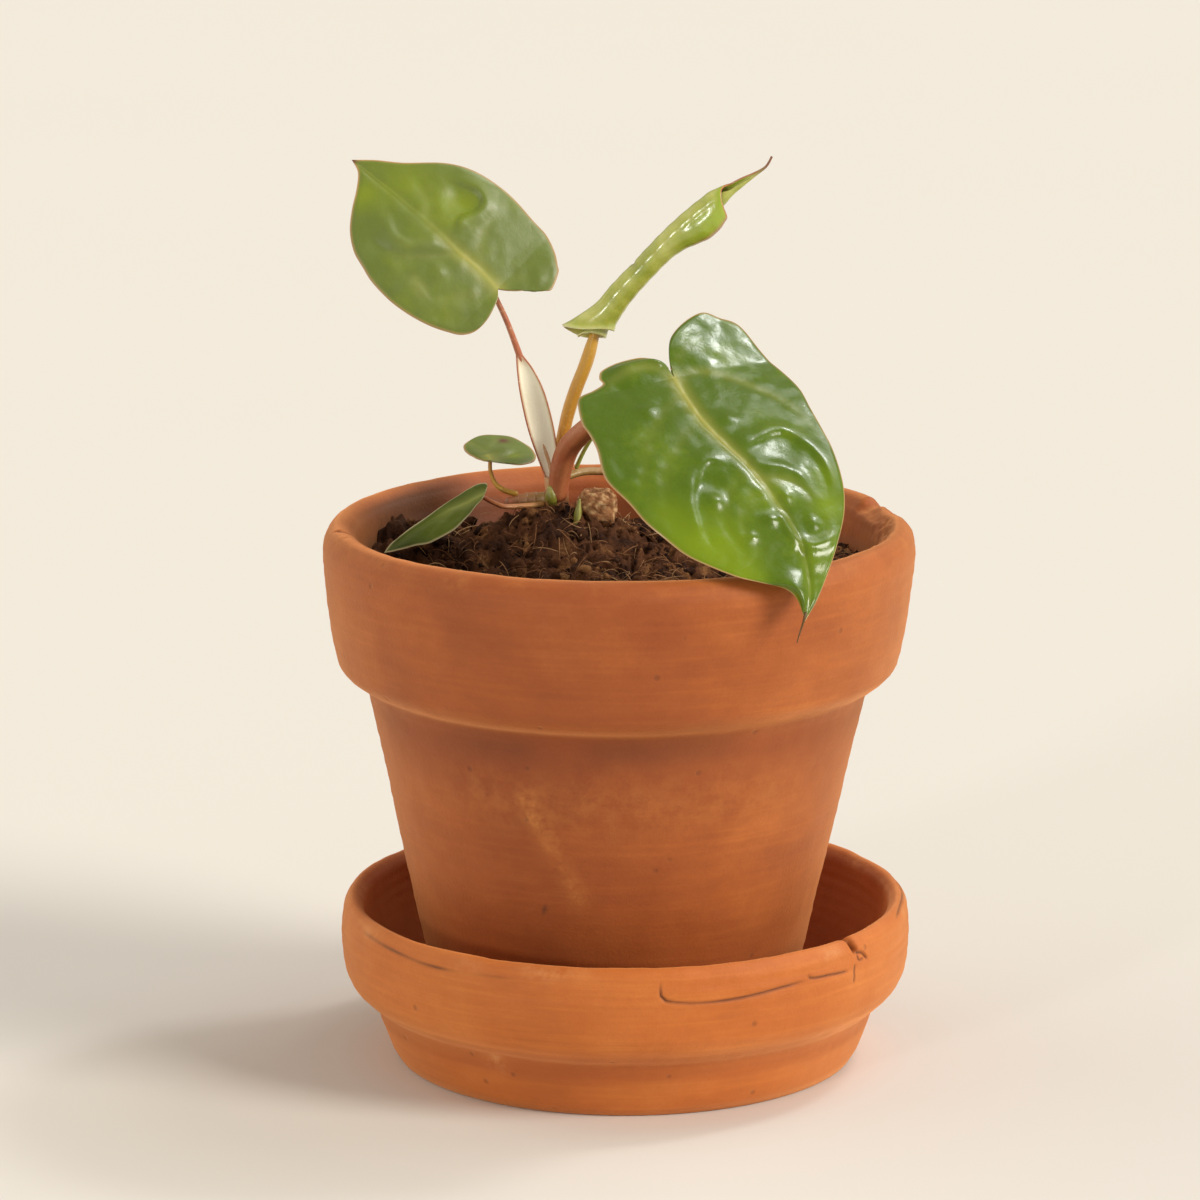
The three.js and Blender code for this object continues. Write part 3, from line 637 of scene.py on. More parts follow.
def saucer_shape():
    """The saucer's profile turned, with wheel rings, soft lumps, an uneven lip and its cracks."""
    profile = profile_points(SAUCER_PROFILE, saucer_spacing)
    points = turned_grid(profile, spread_angles(1.3, SAUCER_FINE_ANGLES), upright)
    normal = outward(points)
    x, y, z = np.moveaxis(points, -1, 0)
    radius = np.hypot(x, y)
    wall = smooth(40, 50, radius) * smooth(1, 6, z)
    rings = 0.05 * np.sin(z * 2.3 + 1.5 * lumps(points, 30, 3))
    uneven = octaves(points, {13: 0.18, 3.2: 0.07, 1.1: 0.03}, 4)
    lip = 0.16 * smooth(29.5, 30.2, z) * smooth(24, 34, z) * lumps(points * [1, 1, 0.2], 9, 7)
    points = points + normal * ((rings + uneven) * wall + lip)[..., None]
    points, inside = cut_cracks(points, normal, SAUCER_CRACKS, upright)
    z = points[..., 2]
    # Darker on the inner wall and in a ring on the floor, under the pot.
    inner_wall = smooth(60.3, 58.5, radius) * smooth(46, 52, radius) * smooth(7, 10, z)
    floor_ring = smooth(7.5, 6.4, z) * smooth(52, 48, radius)
    pale_lip = bell((z - 34.6) / 1.6) * smooth(-0.2, 0.7, lumps(points, 9, 8))
    spot = bell(apart(points, on_wall(*LIME_SPOT, upright)) / 2.2)
    return ring_shape(points, {"damp_and_shade": np.clip(0.6 * inner_wall + 0.15 * floor_ring, 0, 1),
                               "chalk": np.clip(0.5 * pale_lip + 0.8 * spot, 0, 1),
                               "dirt_and_shade": 0.9 * inside})


add_piece("saucer_turned", saucer_shape(), saucer_clay, "saucer")

# %% [markdown]
# ## The pot
# The pot leans a little, so its axis moves sideways with height. Its body and its inside are two parallel
# cones, and the profile takes its straight parts from them. The rim is worn, low and chipped in three
# stretches. The rest is colour: painted shade on the left front side and under the collar, a pale band, a
# smear, and a darker patch inside, each a window of degrees or a bell of height.

# %% The pot
POT_FOOT_X, POT_LEAN, FOOT_Z = -2.5, 0.0085, 6.5
POT_FOOT_RADIUS, BODY_TAPER, POT_WALL = 38.2, 0.2176, 5
pot_axis = lambda z: POT_FOOT_X + POT_LEAN * (z - FOOT_Z)
body_radius = lambda z: POT_FOOT_RADIUS + BODY_TAPER * (z - FOOT_Z)
inside_radius = lambda z: body_radius(z) - POT_WALL
BODY = [[body_radius(z), z] for z in (14, 34, 60, 76, 82.5)]
INSIDE = [[inside_radius(z), z] for z in (116, 106, 60, 18)]
POT_PROFILE = [
    [6, 8], [6.3, 6.7], [7.5, 6.5], [20, 6.5], [36.5, 6.5], [37.6, 6.7], [38.4, 7.6], *BODY,
    [55.4, 84.2], [56, 85.2], [57.8, 86.3], [59.6, 87.5], [61.1, 89], [62, 91.6], [63.3, 98],
    [64.4, 107], [64.9, 113], [64.9, 115.4], [64.2, 117.9], [62.9, 119.6], [61.3, 120.3],
    [59.7, 119.8], [58.3, 118.4], *INSIDE, [inside_radius(14), 14.2], [34, 13.5], [20, 13.5],
    [7.5, 13.5], [6.3, 13.3], [6, 12]]
POT_FINE_ANGLES = [(-84, -74, 0.35), (88, 118, 0.4)]
pot_spacing = lambda z: np.where(z > 112, 0.55, np.where(z > 82, 0.9, 1.7))
RIM_CHIP = [([(-81.5, 62.4, 120.1), (-79, 61, 120.4), (-76.6, 59, 119.6)], 0.5, 0.9)]
SMEAR_PATH = ((-22, 69), (-19, 63), (-15.9, 58), (-13, 53), (-10, 48))
DARK_SPECK = (-19.2, 44.3)
# The stretches of the wall that a mark covers, in degrees: it starts, is full, fades, is gone.
WORN_RIM = (57, 62, 96, 104)
LOW_RIM = (90, 106, 112.2, 114.2)
# Painted shade on the left front side, which the key light doesn't reach.
SHADED_SIDE = (-110, -60, -10, 35)
PALE_BAND = (-60, -30, 30, 75)
# Where the inner wall is darker, at the back left, in degrees.
DARK_INSIDE_MIDDLE, DARK_INSIDE_WIDTH = -122, 24
# The heights of the pale band, of the painted shade under the collar and of the lip's pale ring.
BAND_Z, COLLAR_SHADE_Z, LIP_Z = 69, 81.5, 119


def on_body(angle, height):
    """A place on the pot's body, below its collar."""
    return on_wall(angle, body_radius(height), height, pot_axis)


def pot_shape():
    """The pot's profile turned, with wheel rings, soft lumps, a worn, a low and a chipped stretch of rim,
    and the masks of its colour: damp with painted shade, chalk, and dirt with painted shade."""
    angles = spread_angles(1.1, POT_FINE_ANGLES)
    points = turned_grid(profile_points(POT_PROFILE, pot_spacing), angles, pot_axis)
    normal = outward(points)
    x, y, z = np.moveaxis(points, -1, 0)
    degrees = np.degrees(angles)[None, :] + 0 * z
    radius = np.hypot(x - pot_axis(z), y)
    rings = 0.05 * np.sin(z * 1.9 + 2 * lumps(points, 40, 11)) + 0.03 * np.sin(z * 5.1)
    uneven = octaves(points, {17: 0.22, 4: 0.08, 1.3: 0.03}, 12)
    worn = window(degrees, *WORN_RIM) * smooth(61.2, 58.8, radius) * smooth(114, 118, z)
    inwards = worn * (0.5 + 0.7 * lumps(points, 1.8, 15))
    moved = points + normal * ((rings + uneven) * smooth(7, 12, z) - inwards)[..., None]
    low = window(degrees, *LOW_RIM) * smooth(116, 120, z)
    moved[..., 2] -= low * (1.35 + 0.5 * lumps(points, 2.4, 16))
    moved, inside = cut_cracks(moved, normal, RIM_CHIP, pot_axis)

    outside = smooth(-1.2, -0.4, radius - body_radius(z))
    # Painted shade on the body under the collar.
    under_collar = window(z, 60, 84, 84, 87)
    # Darker towards the foot.
    foot = smooth(52, 24, z)
    wet_inside = smooth(118.5, 112, z) * (1 - outside)
    damp_and_shade = (0.8 * under_collar + 0.4 * foot + 0.35 * window(degrees, *SHADED_SIDE)) * outside
    band = bell((z - BAND_Z) / 7) * window(degrees, *PALE_BAND) * outside
    smear, _, _ = to_path(points, [on_body(*at) for at in SMEAR_PATH])
    smear = bell(smear / (2.6 + 0.9 * lumps(points, 9, 17)))
    lip = bell((z - LIP_Z) / 2.2) * (0.35 + 0.5 * worn) * smooth(-0.3, 0.5, lumps(points, 6, 18))
    # A patchy band of painted shade just under the collar.
    collar_shade = bell((z - COLLAR_SHADE_Z) / 3.5) * smooth(-1, 0.4, lumps(points, 14, 20)) * outside
    # Darker on the inner wall at the back left, and in patches low down just above the soil.
    dark_inside = bell((degrees - DARK_INSIDE_MIDDLE) / DARK_INSIDE_WIDTH) * smooth(120.3, 118, z)
    dark_inside = dark_inside + 0.4 * smooth(115, 112, z + 2.5 * lumps(points, 6, 19))
    dark_inside = np.clip(dark_inside * (1 - outside) * smooth(100, 104, z), 0, 1)
    speck = bell(apart(points, on_body(*DARK_SPECK)) / 0.6)
    values = {"damp_and_shade": np.clip(damp_and_shade + 0.4 * wet_inside, 0, 1),
              "chalk": np.clip(0.3 * band + 0.5 * smear + lip, 0, 1),
              "dirt_and_shade": np.clip(inside + 0.9 * speck + 0.95 * dark_inside + 0.3 * collar_shade, 0, 1)}
    return ring_shape(moved, values, hole=True)


add_piece("pot_turned", pot_shape(), pot_clay, "pot")

# %% [markdown]
# ## Soil
# Potting soil is a heap of crumbs held together by fibres. One surface can't show it, so there
# are three layers: a bed whose height is hills plus ever finer lumps, crumbs strewn on it, and
# thin brown fibres that lie across. The bed is a closed body that reaches down to the pot's floor.

# %% Soil bed
SOIL_LEVEL, SOIL_CENTRE_X, POT_FLOOR_Z = 107.0, -1.6, 13.5
# The hills: where each is, how wide and how deep, and how far it rises.
SOIL_HILLS = ((-13, 24, 20, 16, 9.3), (-48, 20, 9, 18, 6.5), (44, 0, 14, 26, 2.5), (-30, 46, 12, 9, -2))


def soil_height(x, y):
    """A level, plus bells for the hills, plus crumbs: lumps of 7, 3.2, 1.7 and 1 mm, of which the
    first three are folded at zero so that they meet in cracks."""
    height = SOIL_LEVEL + 0 * x
    for hill_x, hill_y, wide, deep, rise in SOIL_HILLS:
        height = height + rise * bell(np.hypot((x - hill_x) / wide, (y - hill_y) / deep))
    flat = np.stack([x, y, 0 * x], axis=-1)
    for size, crest, fold, seed in ((7, 1.4, 3.0, 21), (3.2, 0.6, 1.6, 22), (1.7, 0.8, 1.7, 23)):
        height = height + crest - fold * np.abs(lumps(flat, size, seed))
    return height + 0.9 * lumps(flat, 1.0, 24)


def soil_shape():
    """Rings from the middle of the surface out to the wall, then down the wall and in again."""
    angle = np.linspace(0, 2 * math.pi, 400, endpoint=False)
    share = np.concatenate([[0.004], np.linspace(0.012, 1, 140)])[:, None]
    reach = inside_radius(SOIL_LEVEL) * share
    top_z = soil_height(reach * np.cos(angle), reach * np.sin(angle))
    top_radius = (inside_radius(top_z) - 0.1) * share
    above_floor, inwards = np.array([40, 0, 0, 0])[:, None], np.array([1, 1, 0.5, 0.01])[:, None]
    low_z = POT_FLOOR_Z + above_floor + 0 * angle
    low_radius = (inside_radius(low_z) - 0.3) * inwards
    z = np.concatenate([top_z, low_z])
    radius = np.concatenate([top_radius, low_radius])
    points = np.stack([radius * np.cos(angle) + pot_axis(z), radius * np.sin(angle), z], axis=-1)
    return ring_shape(points, {"tint": 0.5 + 0.5 * lumps(points, 4.5, 25)})


def soil_material(name, dark, middle, light, roughness):
    """Crumbly brown: a tint on the points picks between three browns, and noise breaks it up."""
    material, tree, shader = new_material(name, roughness=roughness, Specular_IOR_Level=0.2)
    crumbs = noise(tree, 1300.0, detail=5.0, rough=0.7)
    tint = maths(tree, "ADD", attribute(tree, "tint"), maths(tree, "SUBTRACT", crumbs, 0.5))
    color = blend(tree, remap(tree, tint, 0.1, 0.62), rgb(dark), rgb(middle))
    color = blend(tree, remap(tree, tint, 0.7, 1.05), color, rgb(light))
    tree.links.new(color, shader["Base Color"])
    tree.links.new(raise_surface(tree, crumbs, 0.7), shader["Normal"])
    return material


soil_brown = soil_material("soil", "2a150b", "5c3820", "94683f", 0.95)
fibre_brown = soil_material("fibre", "6b4022", "a3724a", "cfa878", 0.8)
add_piece("soil_bed", soil_shape(), soil_brown, "soil")

# %% [markdown]
# ## Crumbs and fibres
# Loose crumbs and fibres could be instances, but one mesh of each is easier to export. A crumb has
# only the faces of a coarse ball, and a fibre has three sides, because there are hundreds. All
# random numbers come from one seeded source, so every run strews them alike.

# %% Crumbs and fibres
CRUMBS, FIBRES = 1500, 900
random = np.random.default_rng(7)
ball = bmesh.new()
bmesh.ops.create_icosphere(ball, subdivisions=2, radius=1.0)
BALL_POINTS = np.array([vertex.co[:] for vertex in ball.verts])
BALL_FACES = np.array([[vertex.index for vertex in face.verts] for face in ball.faces])
ball.free()


def strewn_places(count, reach_share):
    """Random places spread evenly over the round surface of the soil."""
    angle = random.uniform(0, 2 * math.pi, count)
    radius = np.sqrt(random.uniform(0, 1, count)) * reach_share * inside_radius(SOIL_LEVEL)
    x, y = radius * np.cos(angle), radius * np.sin(angle)
    return np.stack([x + SOIL_CENTRE_X, y, soil_height(x, y)], axis=-1)


def crumb_shape(count):
    """Small balls squeezed by random sizes along each axis and dented by lumps of their own."""
    places = strewn_places(count, 0.95)
    size = 0.25 + 1.1 * random.uniform(0, 1, count) ** 4.0
    squeeze = random.uniform(0.7, 1.25, (count, 1, 3))
    dents = 1 + 0.8 * lumps(BALL_POINTS * 1.9 + random.uniform(0, 99, (count, 1, 3)), 1.0, 31)
    points = places[:, None] + BALL_POINTS * squeeze * (size[:, None] * dents)[..., None]
    points[..., 2] += 0.25 * size[:, None]
    step = np.arange(count)[:, None, None] * len(BALL_POINTS)
    tint = np.repeat(random.uniform(0.05, 1.0, count) ** 1.6, len(BALL_POINTS))
    return {"points": points.reshape(-1, 3), "faces": [(BALL_FACES + step).reshape(-1, 3)],
            "values": {"tint": tint}}


def strand_shape(starts, ends, bows, radius, tint):
    """Many thin three-sided strands at once. Each follows a bow from its start to its end: a
    straight line plus a bend that is greatest halfway, and its radius shrinks towards both ends."""
    steps, sides = 8, 3
    share = np.linspace(0, 1, steps)[None, :, None]
    straight = starts[:, None] * (1 - share) + ends[:, None] * share
    middle = straight + bows[:, None] * (4 * share * (1 - share))
    first, second = across_of(unit(np.gradient(middle, axis=1)), np.array([0.1, 0.2, 1.0]))
    angle = np.linspace(0, 2 * math.pi, sides, endpoint=False)[:, None]
    thickness = (radius[:, None, None] * (1 - 0.85 * np.abs(2 * share - 1) ** 3))[..., None]
    ring = first[:, :, None] * np.cos(angle) + second[:, :, None] * np.sin(angle)
    points = middle[:, :, None] + ring * thickness
    step = steps * sides
    offsets = np.arange(len(starts))[:, None, None] * step
    caps = np.array([[2, 1, 0], [step - 3, step - 2, step - 1]])
    return {"points": points.reshape(-1, 3),
            "faces": [(grid_faces(steps, sides, wrap=True) + offsets).reshape(-1, 4),
                      (caps + offsets).reshape(-1, 3)],
            "values": {"tint": np.repeat(tint, step)}}


def fibre_shape(count):
    """Fibres that lie on the soil at random turns, most of them nearly level."""
    starts = strewn_places(count, 0.9)
    turn = random.uniform(0, 2 * math.pi, count)
    length = random.uniform(2, 8, count)
    rise = random.normal(0.5, 1.1, count)
    heading = np.stack([np.cos(turn) * length, np.sin(turn) * length], axis=-1)
    tips = starts[:, :2] + heading
    too_far = np.hypot(*tips.T) > inside_radius(SOIL_LEVEL) - 2
    tips[too_far] = starts[too_far, :2] - heading[too_far] * 0.6
    ends = np.column_stack([tips, soil_height(*tips.T) + rise])
    bows = random.normal(0, 0.13, (count, 3)) * length[:, None] + [0, 0, 0.5]
    return strand_shape(starts + [0, 0, 0.3], ends, bows, random.uniform(0.04, 0.13, count),
                        random.uniform(0.1, 1.0, count))


add_piece("soil_crumbs", crumb_shape(CRUMBS), soil_brown)
add_piece("soil_fibres", fibre_shape(FIBRES), fibre_brown)

# %% [markdown]
# ## Stem and stalks
# The crown is short and jointed: each fallen leaf left a ring. A creeping piece goes off to the
# left, and the leaf stalks rise from the crown. All are circles carried along a path, with rings
# and grooves as a change of radius, so the stalks keep the paths that the model gives them.

# %% Stem and stalk finishes
def stalk_material(name, base, warm, pale):
    """A fleshy stalk: one colour turning to another along its length, pale where the mask says so,
    and fine freckles."""
    material, tree, shader = new_material(name, roughness=0.42, Specular_IOR_Level=0.5,
                                          Coat_Weight=0.15, Coat_Roughness=0.35)
    cloudy = noise(tree, 260.0)
    along = maths(tree, "ADD", attribute(tree, "warmth"), remap(tree, cloudy, 0.3, 0.7, -0.15, 0.15))
    color = blend(tree, remap(tree, along, 0.0, 1.0), rgb(base), rgb(warm))
    freckle = noise(tree, 1500.0, detail=2.0)
    color = blend(tree, remap(tree, freckle, 0.58, 0.75, 0.0, 0.4), color, rgb(pale))
    tree.links.new(paint_masks(tree, color, ("pale", 1.0, pale)), shader["Base Color"])
    tree.links.new(raise_surface(tree, freckle, 0.08), shader["Normal"])
    return material


stem_skin = stalk_material("stem skin", "9a7a42", "ab6c4c", "cfa67e")
red_skin = stalk_material("red stalk", "bd8a50", "ae5f3c", "d39a70")
pale_skin = stalk_material("pale stalk", "dcb884", "b86c4c", "fffae0")
yellow_skin = stalk_material("yellow stalk", "d2a23c", "bb8234", "e6cf8c")
tan_skin = stalk_material("tan stalk", "a6894e", "9a6a3c", "cdb488")
bud_skin = stalk_material("bud skin", "7c7a28", "7a6230", "a5a458")
green_skin = stalk_material("green stalk", "93a046", "8a8a40", "bcc47c")

stalk_skins = [stem_skin, red_skin, pale_skin, yellow_skin, tan_skin, bud_skin, green_skin]
print("stalk finishes:", [skin.name for skin in stalk_skins])

# %% [markdown]
# ## The paths of the stalks
# Each stalk is a path of given points, the radius at even shares of it, and two rules that say how warm
# and how pale its colour is along and round it. All but the smooth bud and the ringed stem are faintly
# grooved.

# %% Stem and stalks
plain = lambda share, angle: 0 * share
rising = lambda share, angle: share
falling = lambda share, angle: 1 - share
grooved = lambda share, angle: 0.05 * np.cos(3 * angle) + 0.03 * np.sin(7 * angle + 3 * share)


def ringed(height):
    """A swell that makes four rings: narrow bells at equal shares of the length."""
    return lambda share, angle: height * bell(np.sin(share * 4 * math.pi) / 0.35)


def stalk(path, radii, warmth=plain, pale=plain, sides=14, steps=50, swell=grooved):
    """A tube with the two masks that every stalk finish reads."""
    return tube(path, radii, sides, steps, swell, {"warmth": warmth, "pale": pale})


crown = stalk([[-15, 28.2, 106], [-15.3, 28, 117], [-15.3, 27.8, 122], [-15.2, 27.8, 126]],
              [2.5, 2.7, 2.7, 1.9], rising, sides=40, steps=120, swell=ringed(0.04))
creeping = stalk([[-25.8, 29, 118], [-22.2, 29, 118.6], [-18, 28.6, 119]],
                 [1.3, 1.6, 1.6], falling, sides=32, steps=60, swell=ringed(0.09))
front_stalk = stalk(
    [[-15, 26.4, 120.8], [-14.3, 25.6, 126.4], [-12.6, 23.6, 131.6], [-9, 18, 136.6], [-3.4, 8, 142.6],
     [3.1, -6, 148.4], [8.4, -15.6, 151], [10.1, -19.1, 152.3], [10.6, -20.4, 154.1]],
    [2.2, 2.5, 2.4, 2.3, 2.0, 1.6, 1.4, 1.3, 1.0], lambda share, angle: 0.9 - 0.4 * share,
    sides=32, steps=120)
new_stalk = stalk(
    [[-15, 28.9, 121.6], [-14.9, 29.1, 127.6], [-14, 27.8, 132.8], [-12.8, 26.4, 138.7],
     [-11, 25.2, 144.6], [-8.6, 24.3, 151.1], [-6.2, 23.8, 159.6]],
    [1.5, 1.5, 1.4, 1.45, 1.45, 1.4, 0.9], falling, sides=28, steps=90)
low_stalk = stalk([[-31.4, 16.8, 121.8], [-29.2, 20, 119.9], [-26.2, 23, 118.4], [-18.6, 26.4, 118.2]],
                  [0.5, 0.55, 0.6, 0.6], falling)
back_stalk = stalk([[-30.3, 31.6, 127], [-30.2, 31.4, 124.7], [-29, 30.8, 121.9], [-27, 30.2, 120.6],
                    [-24.6, 29.3, 120]],
                   [0.45, 0.45, 0.5, 0.6, 0.7], lambda share, angle: 1 - 2 * share)
side_stalk = stalk([[-13, 29.5, 124], [-9.5, 31.5, 124.6], [-5.2, 33, 124.4], [1, 34, 123.4]],
                   [0.9, 0.9, 0.85, 0.6], rising)
thin_stalk = stalk([[-10.9, 30.2, 126], [-9.3, 29.8, 129.6], [-7.4, 29, 133], [-4.6, 27.6, 137.4]],
                   [0.5, 0.45, 0.45, 0.4])
sprout = stalk([[-10.7, 19.6, 112.5], [-10.6, 19.6, 116.6], [-10.2, 19.8, 120.6]], [0.6, 0.85, 0.8, 0.3],
               pale=lambda share, angle: bell((angle - 0.6) / 0.5) * smooth(0.1, 0.3, share))
bud = stalk([[-16.2, 25.6, 118.4], [-16.5, 25.1, 120.2], [-16.7, 25, 122]], [0.9, 1.4, 1.3, 0.8],
            pale=lambda share, angle: 0.7 * smooth(0.7, 1, share), sides=24, steps=40, swell=plain)

for name, shape, skin, slot, node in (
        ("stem_skin", join(crown, creeping), stem_skin, "stem", "stem"),
        ("front_leaf_stalk", front_stalk, red_skin, "red_petiole", "front_leaf_petiole"),
        ("new_leaf_stalk", new_stalk, yellow_skin, "yellow_petiole", "new_leaf_petiole"),
        ("low_leaf_stalk", low_stalk, red_skin, "yellow_petiole", "low_leaf_petiole"),
        ("back_leaf_stalk", back_stalk, yellow_skin, "yellow_petiole", "back_leaf_petiole"),
        ("side_stalk_skin", side_stalk, tan_skin, "stalk", "side_stalk"),
        ("thin_stalk_skin", thin_stalk, green_skin, "stalk", "thin_stalk"),
        ("sprout_skin", sprout, bud_skin, "young_green", "sprout"),
        ("bud_skin", bud, bud_skin, "young_green", "bud")):
    add_piece(name, shape, skin, node)

# %% [markdown]
# ## The winged stalk
# The upper leaf's stalk is wrapped at its foot by a wing: a shallow trough, whitish green inside
# with pink edges. It is a sheet whose rows are arcs of a growing and shrinking width.

# %% Upper stalk with its wing
WING_CENTRE = [[-23.6, 24.2, 152.6], [-22.2, 23.6, 149.3], [-20.7, 23.2, 144.3], [-18.9, 24, 136.5],
               [-17.4, 25.4, 129.6], [-16.4, 25.8, 124.6]]
WING_HALF_WIDTHS = [[0.6], [1.8], [2.7], [2.9], [2.3], [1.4]]
WING_DEPTH = 0.55
WING_TURN = 0.45 * math.pi


def wing_shape():
    """Rows of arcs: sideways by the sine, backwards by the cosine of an angle across the trough.
    The edges are thinner and pinker, and so is the foot."""
    share = np.linspace(0, 1, 90)
    centre = spline(WING_CENTRE, share)[:, None]
    half_width = spline(WING_HALF_WIDTHS, share)
    angle = np.linspace(-WING_TURN, WING_TURN, 41)[None]
    deep = half_width * WING_DEPTH * (np.cos(angle) - 0.3)
    points = np.stack([centre[..., 0] + half_width * np.sin(angle), centre[..., 1] + deep,
                       centre[..., 2] + 0 * deep], axis=-1)
    edge = np.abs(angle) / WING_TURN + 0 * deep
    foot = smooth(0.2, 0, share)[:, None]
    warmth = 0.8 * smooth(0.9, 1.0, edge) + 0.3 * smooth(0.1, -0.9, angle) + 0.5 * foot
    pale = smooth(1.0, 0.7, edge) * smooth(0, 0.2, share)[:, None]
    return sheet(points, 0.35 - 0.2 * smooth(0.7, 1.0, edge), {"warmth": warmth, "pale": pale})


upper_stalk = stalk(
    [[-16.2, 27.6, 121.6], [-17, 27.3, 127.6], [-18.9, 26.4, 134], [-20.6, 25.6, 143],
     [-22.9, 24.9, 150.5], [-26.1, 23.4, 159.8], [-28.6, 22.6, 165.6], [-29.3, 22, 167.9],
     [-28.9, 20.6, 169]],
    [1.7, 1.3, 1.0, 0.9, 0.85, 0.75, 0.65, 0.6, 0.5],
    lambda share, angle: 0.35 + 0.65 * smooth(0.3, 0.6, share), sides=24, steps=110)
add_piece("upper_leaf_stalk", join(upper_stalk, wing_shape()), pale_skin,
          "upper_leaf_petiole")

# %% [markdown]
# ## Leaves
# A leaf is a grid stretched between its midrib and its outline: one direction runs from the joint round
# the lobe to the tip, the other from the midrib out to the edge. Its height above a flat plane is an arch,
# a droop and the relief of this kind of leaf: ridges, furrows and small swellings between the veins. Each
# is a given curve or spot, and the height depends on the distance from it, so the light catches the folds
# much as it does in the photograph.

# %% Leaf surface
LOBE_SHARE = 0.22


def leaf_axes(leaf):
    """The leaf's own directions: along it to the tip, out of its face, and across to its right."""
    joint, tip, facing = (np.array(leaf[key], float) for key in ("joint", "tip", "facing"))
    along = unit(tip - joint)
    facing = unit(facing - along * (facing @ along))
    return joint, along, facing, np.cross(along, facing), np.linalg.norm(tip - joint)


def spots(u, v, places):
    """Round bells added up, from the place, the size and the height of each."""
    total = 0 * u
    for spot_u, spot_v, size, height in places:
        total = total + height * bell(np.hypot(u - spot_u, v - spot_v) / size)
    return total


def vein_fields(flat, leaf):
    """Relief and the masks of veins and painted highlights on a flat grid. Each line is a ridge, or a
    furrow where its height is below zero: a bell of the distance that has one width on the joint's side
    and another on the tip's side. It fades in along the line and out at its end. The last number is how
    far it shows as a pale line: a vein, and on a few lines also a painted highlight."""
    relief = spots(flat[..., 0], flat[..., 1], leaf["swells"])
    lines = np.zeros(flat.shape[:-1])
    for path, height, near_width, far_width, shown in leaf["ridges"]:
        distance, side, along = to_path(flat, path)
        near = side * np.sign(path[-1][0] - path[0][0]) < 0
        fade = window(along, 0, 0.15, 0.7, 1)
        relief += fade * height * bell(distance / np.where(near, near_width, far_width))
        lines = np.maximum(lines, shown * bell(distance / 1.4) * smooth(1.0, 0.3, along))
    rib, _, rib_along = to_path(flat, leaf["midrib"])
    narrow = 1 - 0.6 * rib_along
    relief -= leaf["rib_depth"] * (bell(rib / (1.9 * narrow)) - 0.3 * bell(rib / (0.6 * narrow)))
    midrib = 0.6 * bell(rib / (2.0 * narrow)) + 0.35 * bell(rib / (0.5 * narrow))
    return relief, lines, midrib * (0.15 + 0.85 * smooth(leaf["rib_end"], 0.2, rib_along))


def leaf_shape(leaf, rows, columns, half_thickness):
    """The leaf's grid and its values: veins with a few painted highlights, midrib, edge, patches of a
    fresher green and specks.
    """
    joint, along, facing, across, length = leaf_axes(leaf)
    s = np.linspace(0, 1, rows)[:, None]
    side = np.linspace(-1, 1, 2 * columns + 1)[None]
    t = np.abs(side)
    rib = spline(leaf["midrib"], np.maximum(0, (s - LOBE_SHARE) / (1 - LOBE_SHARE)))
    edge = np.where(side[..., None] < 0, spline(leaf["left"], s), spline(leaf["right"], s))
    flat = rib + (edge - rib) * t[..., None]
    u, v = flat[..., 0], flat[..., 1]
    relief, lines, midrib = vein_fields(flat, leaf)
    near_joint = smooth(0, 6, np.hypot(u, v))
    to_edge = apart(flat, edge)
    settle = near_joint * smooth(0, 1.5, to_edge)
    curled = leaf["curl"] * bell((s - 0.2) / 0.12) * smooth(0.6, 1, t) * (side > 0)
    wave = leaf["wave"] * np.sin(s * 41 + 3 * np.sign(side)) * smooth(0.75, 1, t)
    wave = wave * window(s, 0.05, 0.2, 0.85, 1)
    fine_lumps = 0.1 * lumps(np.stack([u, v, 0 * u], axis=-1), 2.4, leaf["seed"])
    height = (leaf["arch"] * np.sin(math.pi * np.clip(v / length, 0, 1)) - leaf["droop"] * u * u
              + (relief + fine_lumps) * settle - curled + wave)
    points = joint + u[..., None] * across + v[..., None] * along + height[..., None] * facing
    values = {"vein_and_highlight": lines * near_joint, "midrib": midrib, "edge": bell(to_edge / 0.34),
              "patch": np.clip(spots(u, v, leaf["patches"]), -1, 1), "speck": spots(u, v, leaf["specks"])}
    thin = half_thickness * (0.35 + 0.65 * smooth(0, 1.2, to_edge))
    return sheet(points, thin, values, first_normal=facing)


print("share of a leaf's outline that runs round its lobe:", LOBE_SHARE)

# %% [markdown]
# ## The four open leaves
# Each leaf has a place in space and a flat drawing in millimetres. Across comes first and along
# comes second, with the joint at zero. The drawing holds the midrib, the left and right outline,
# and the ridges, swellings, fresher patches and brown specks.

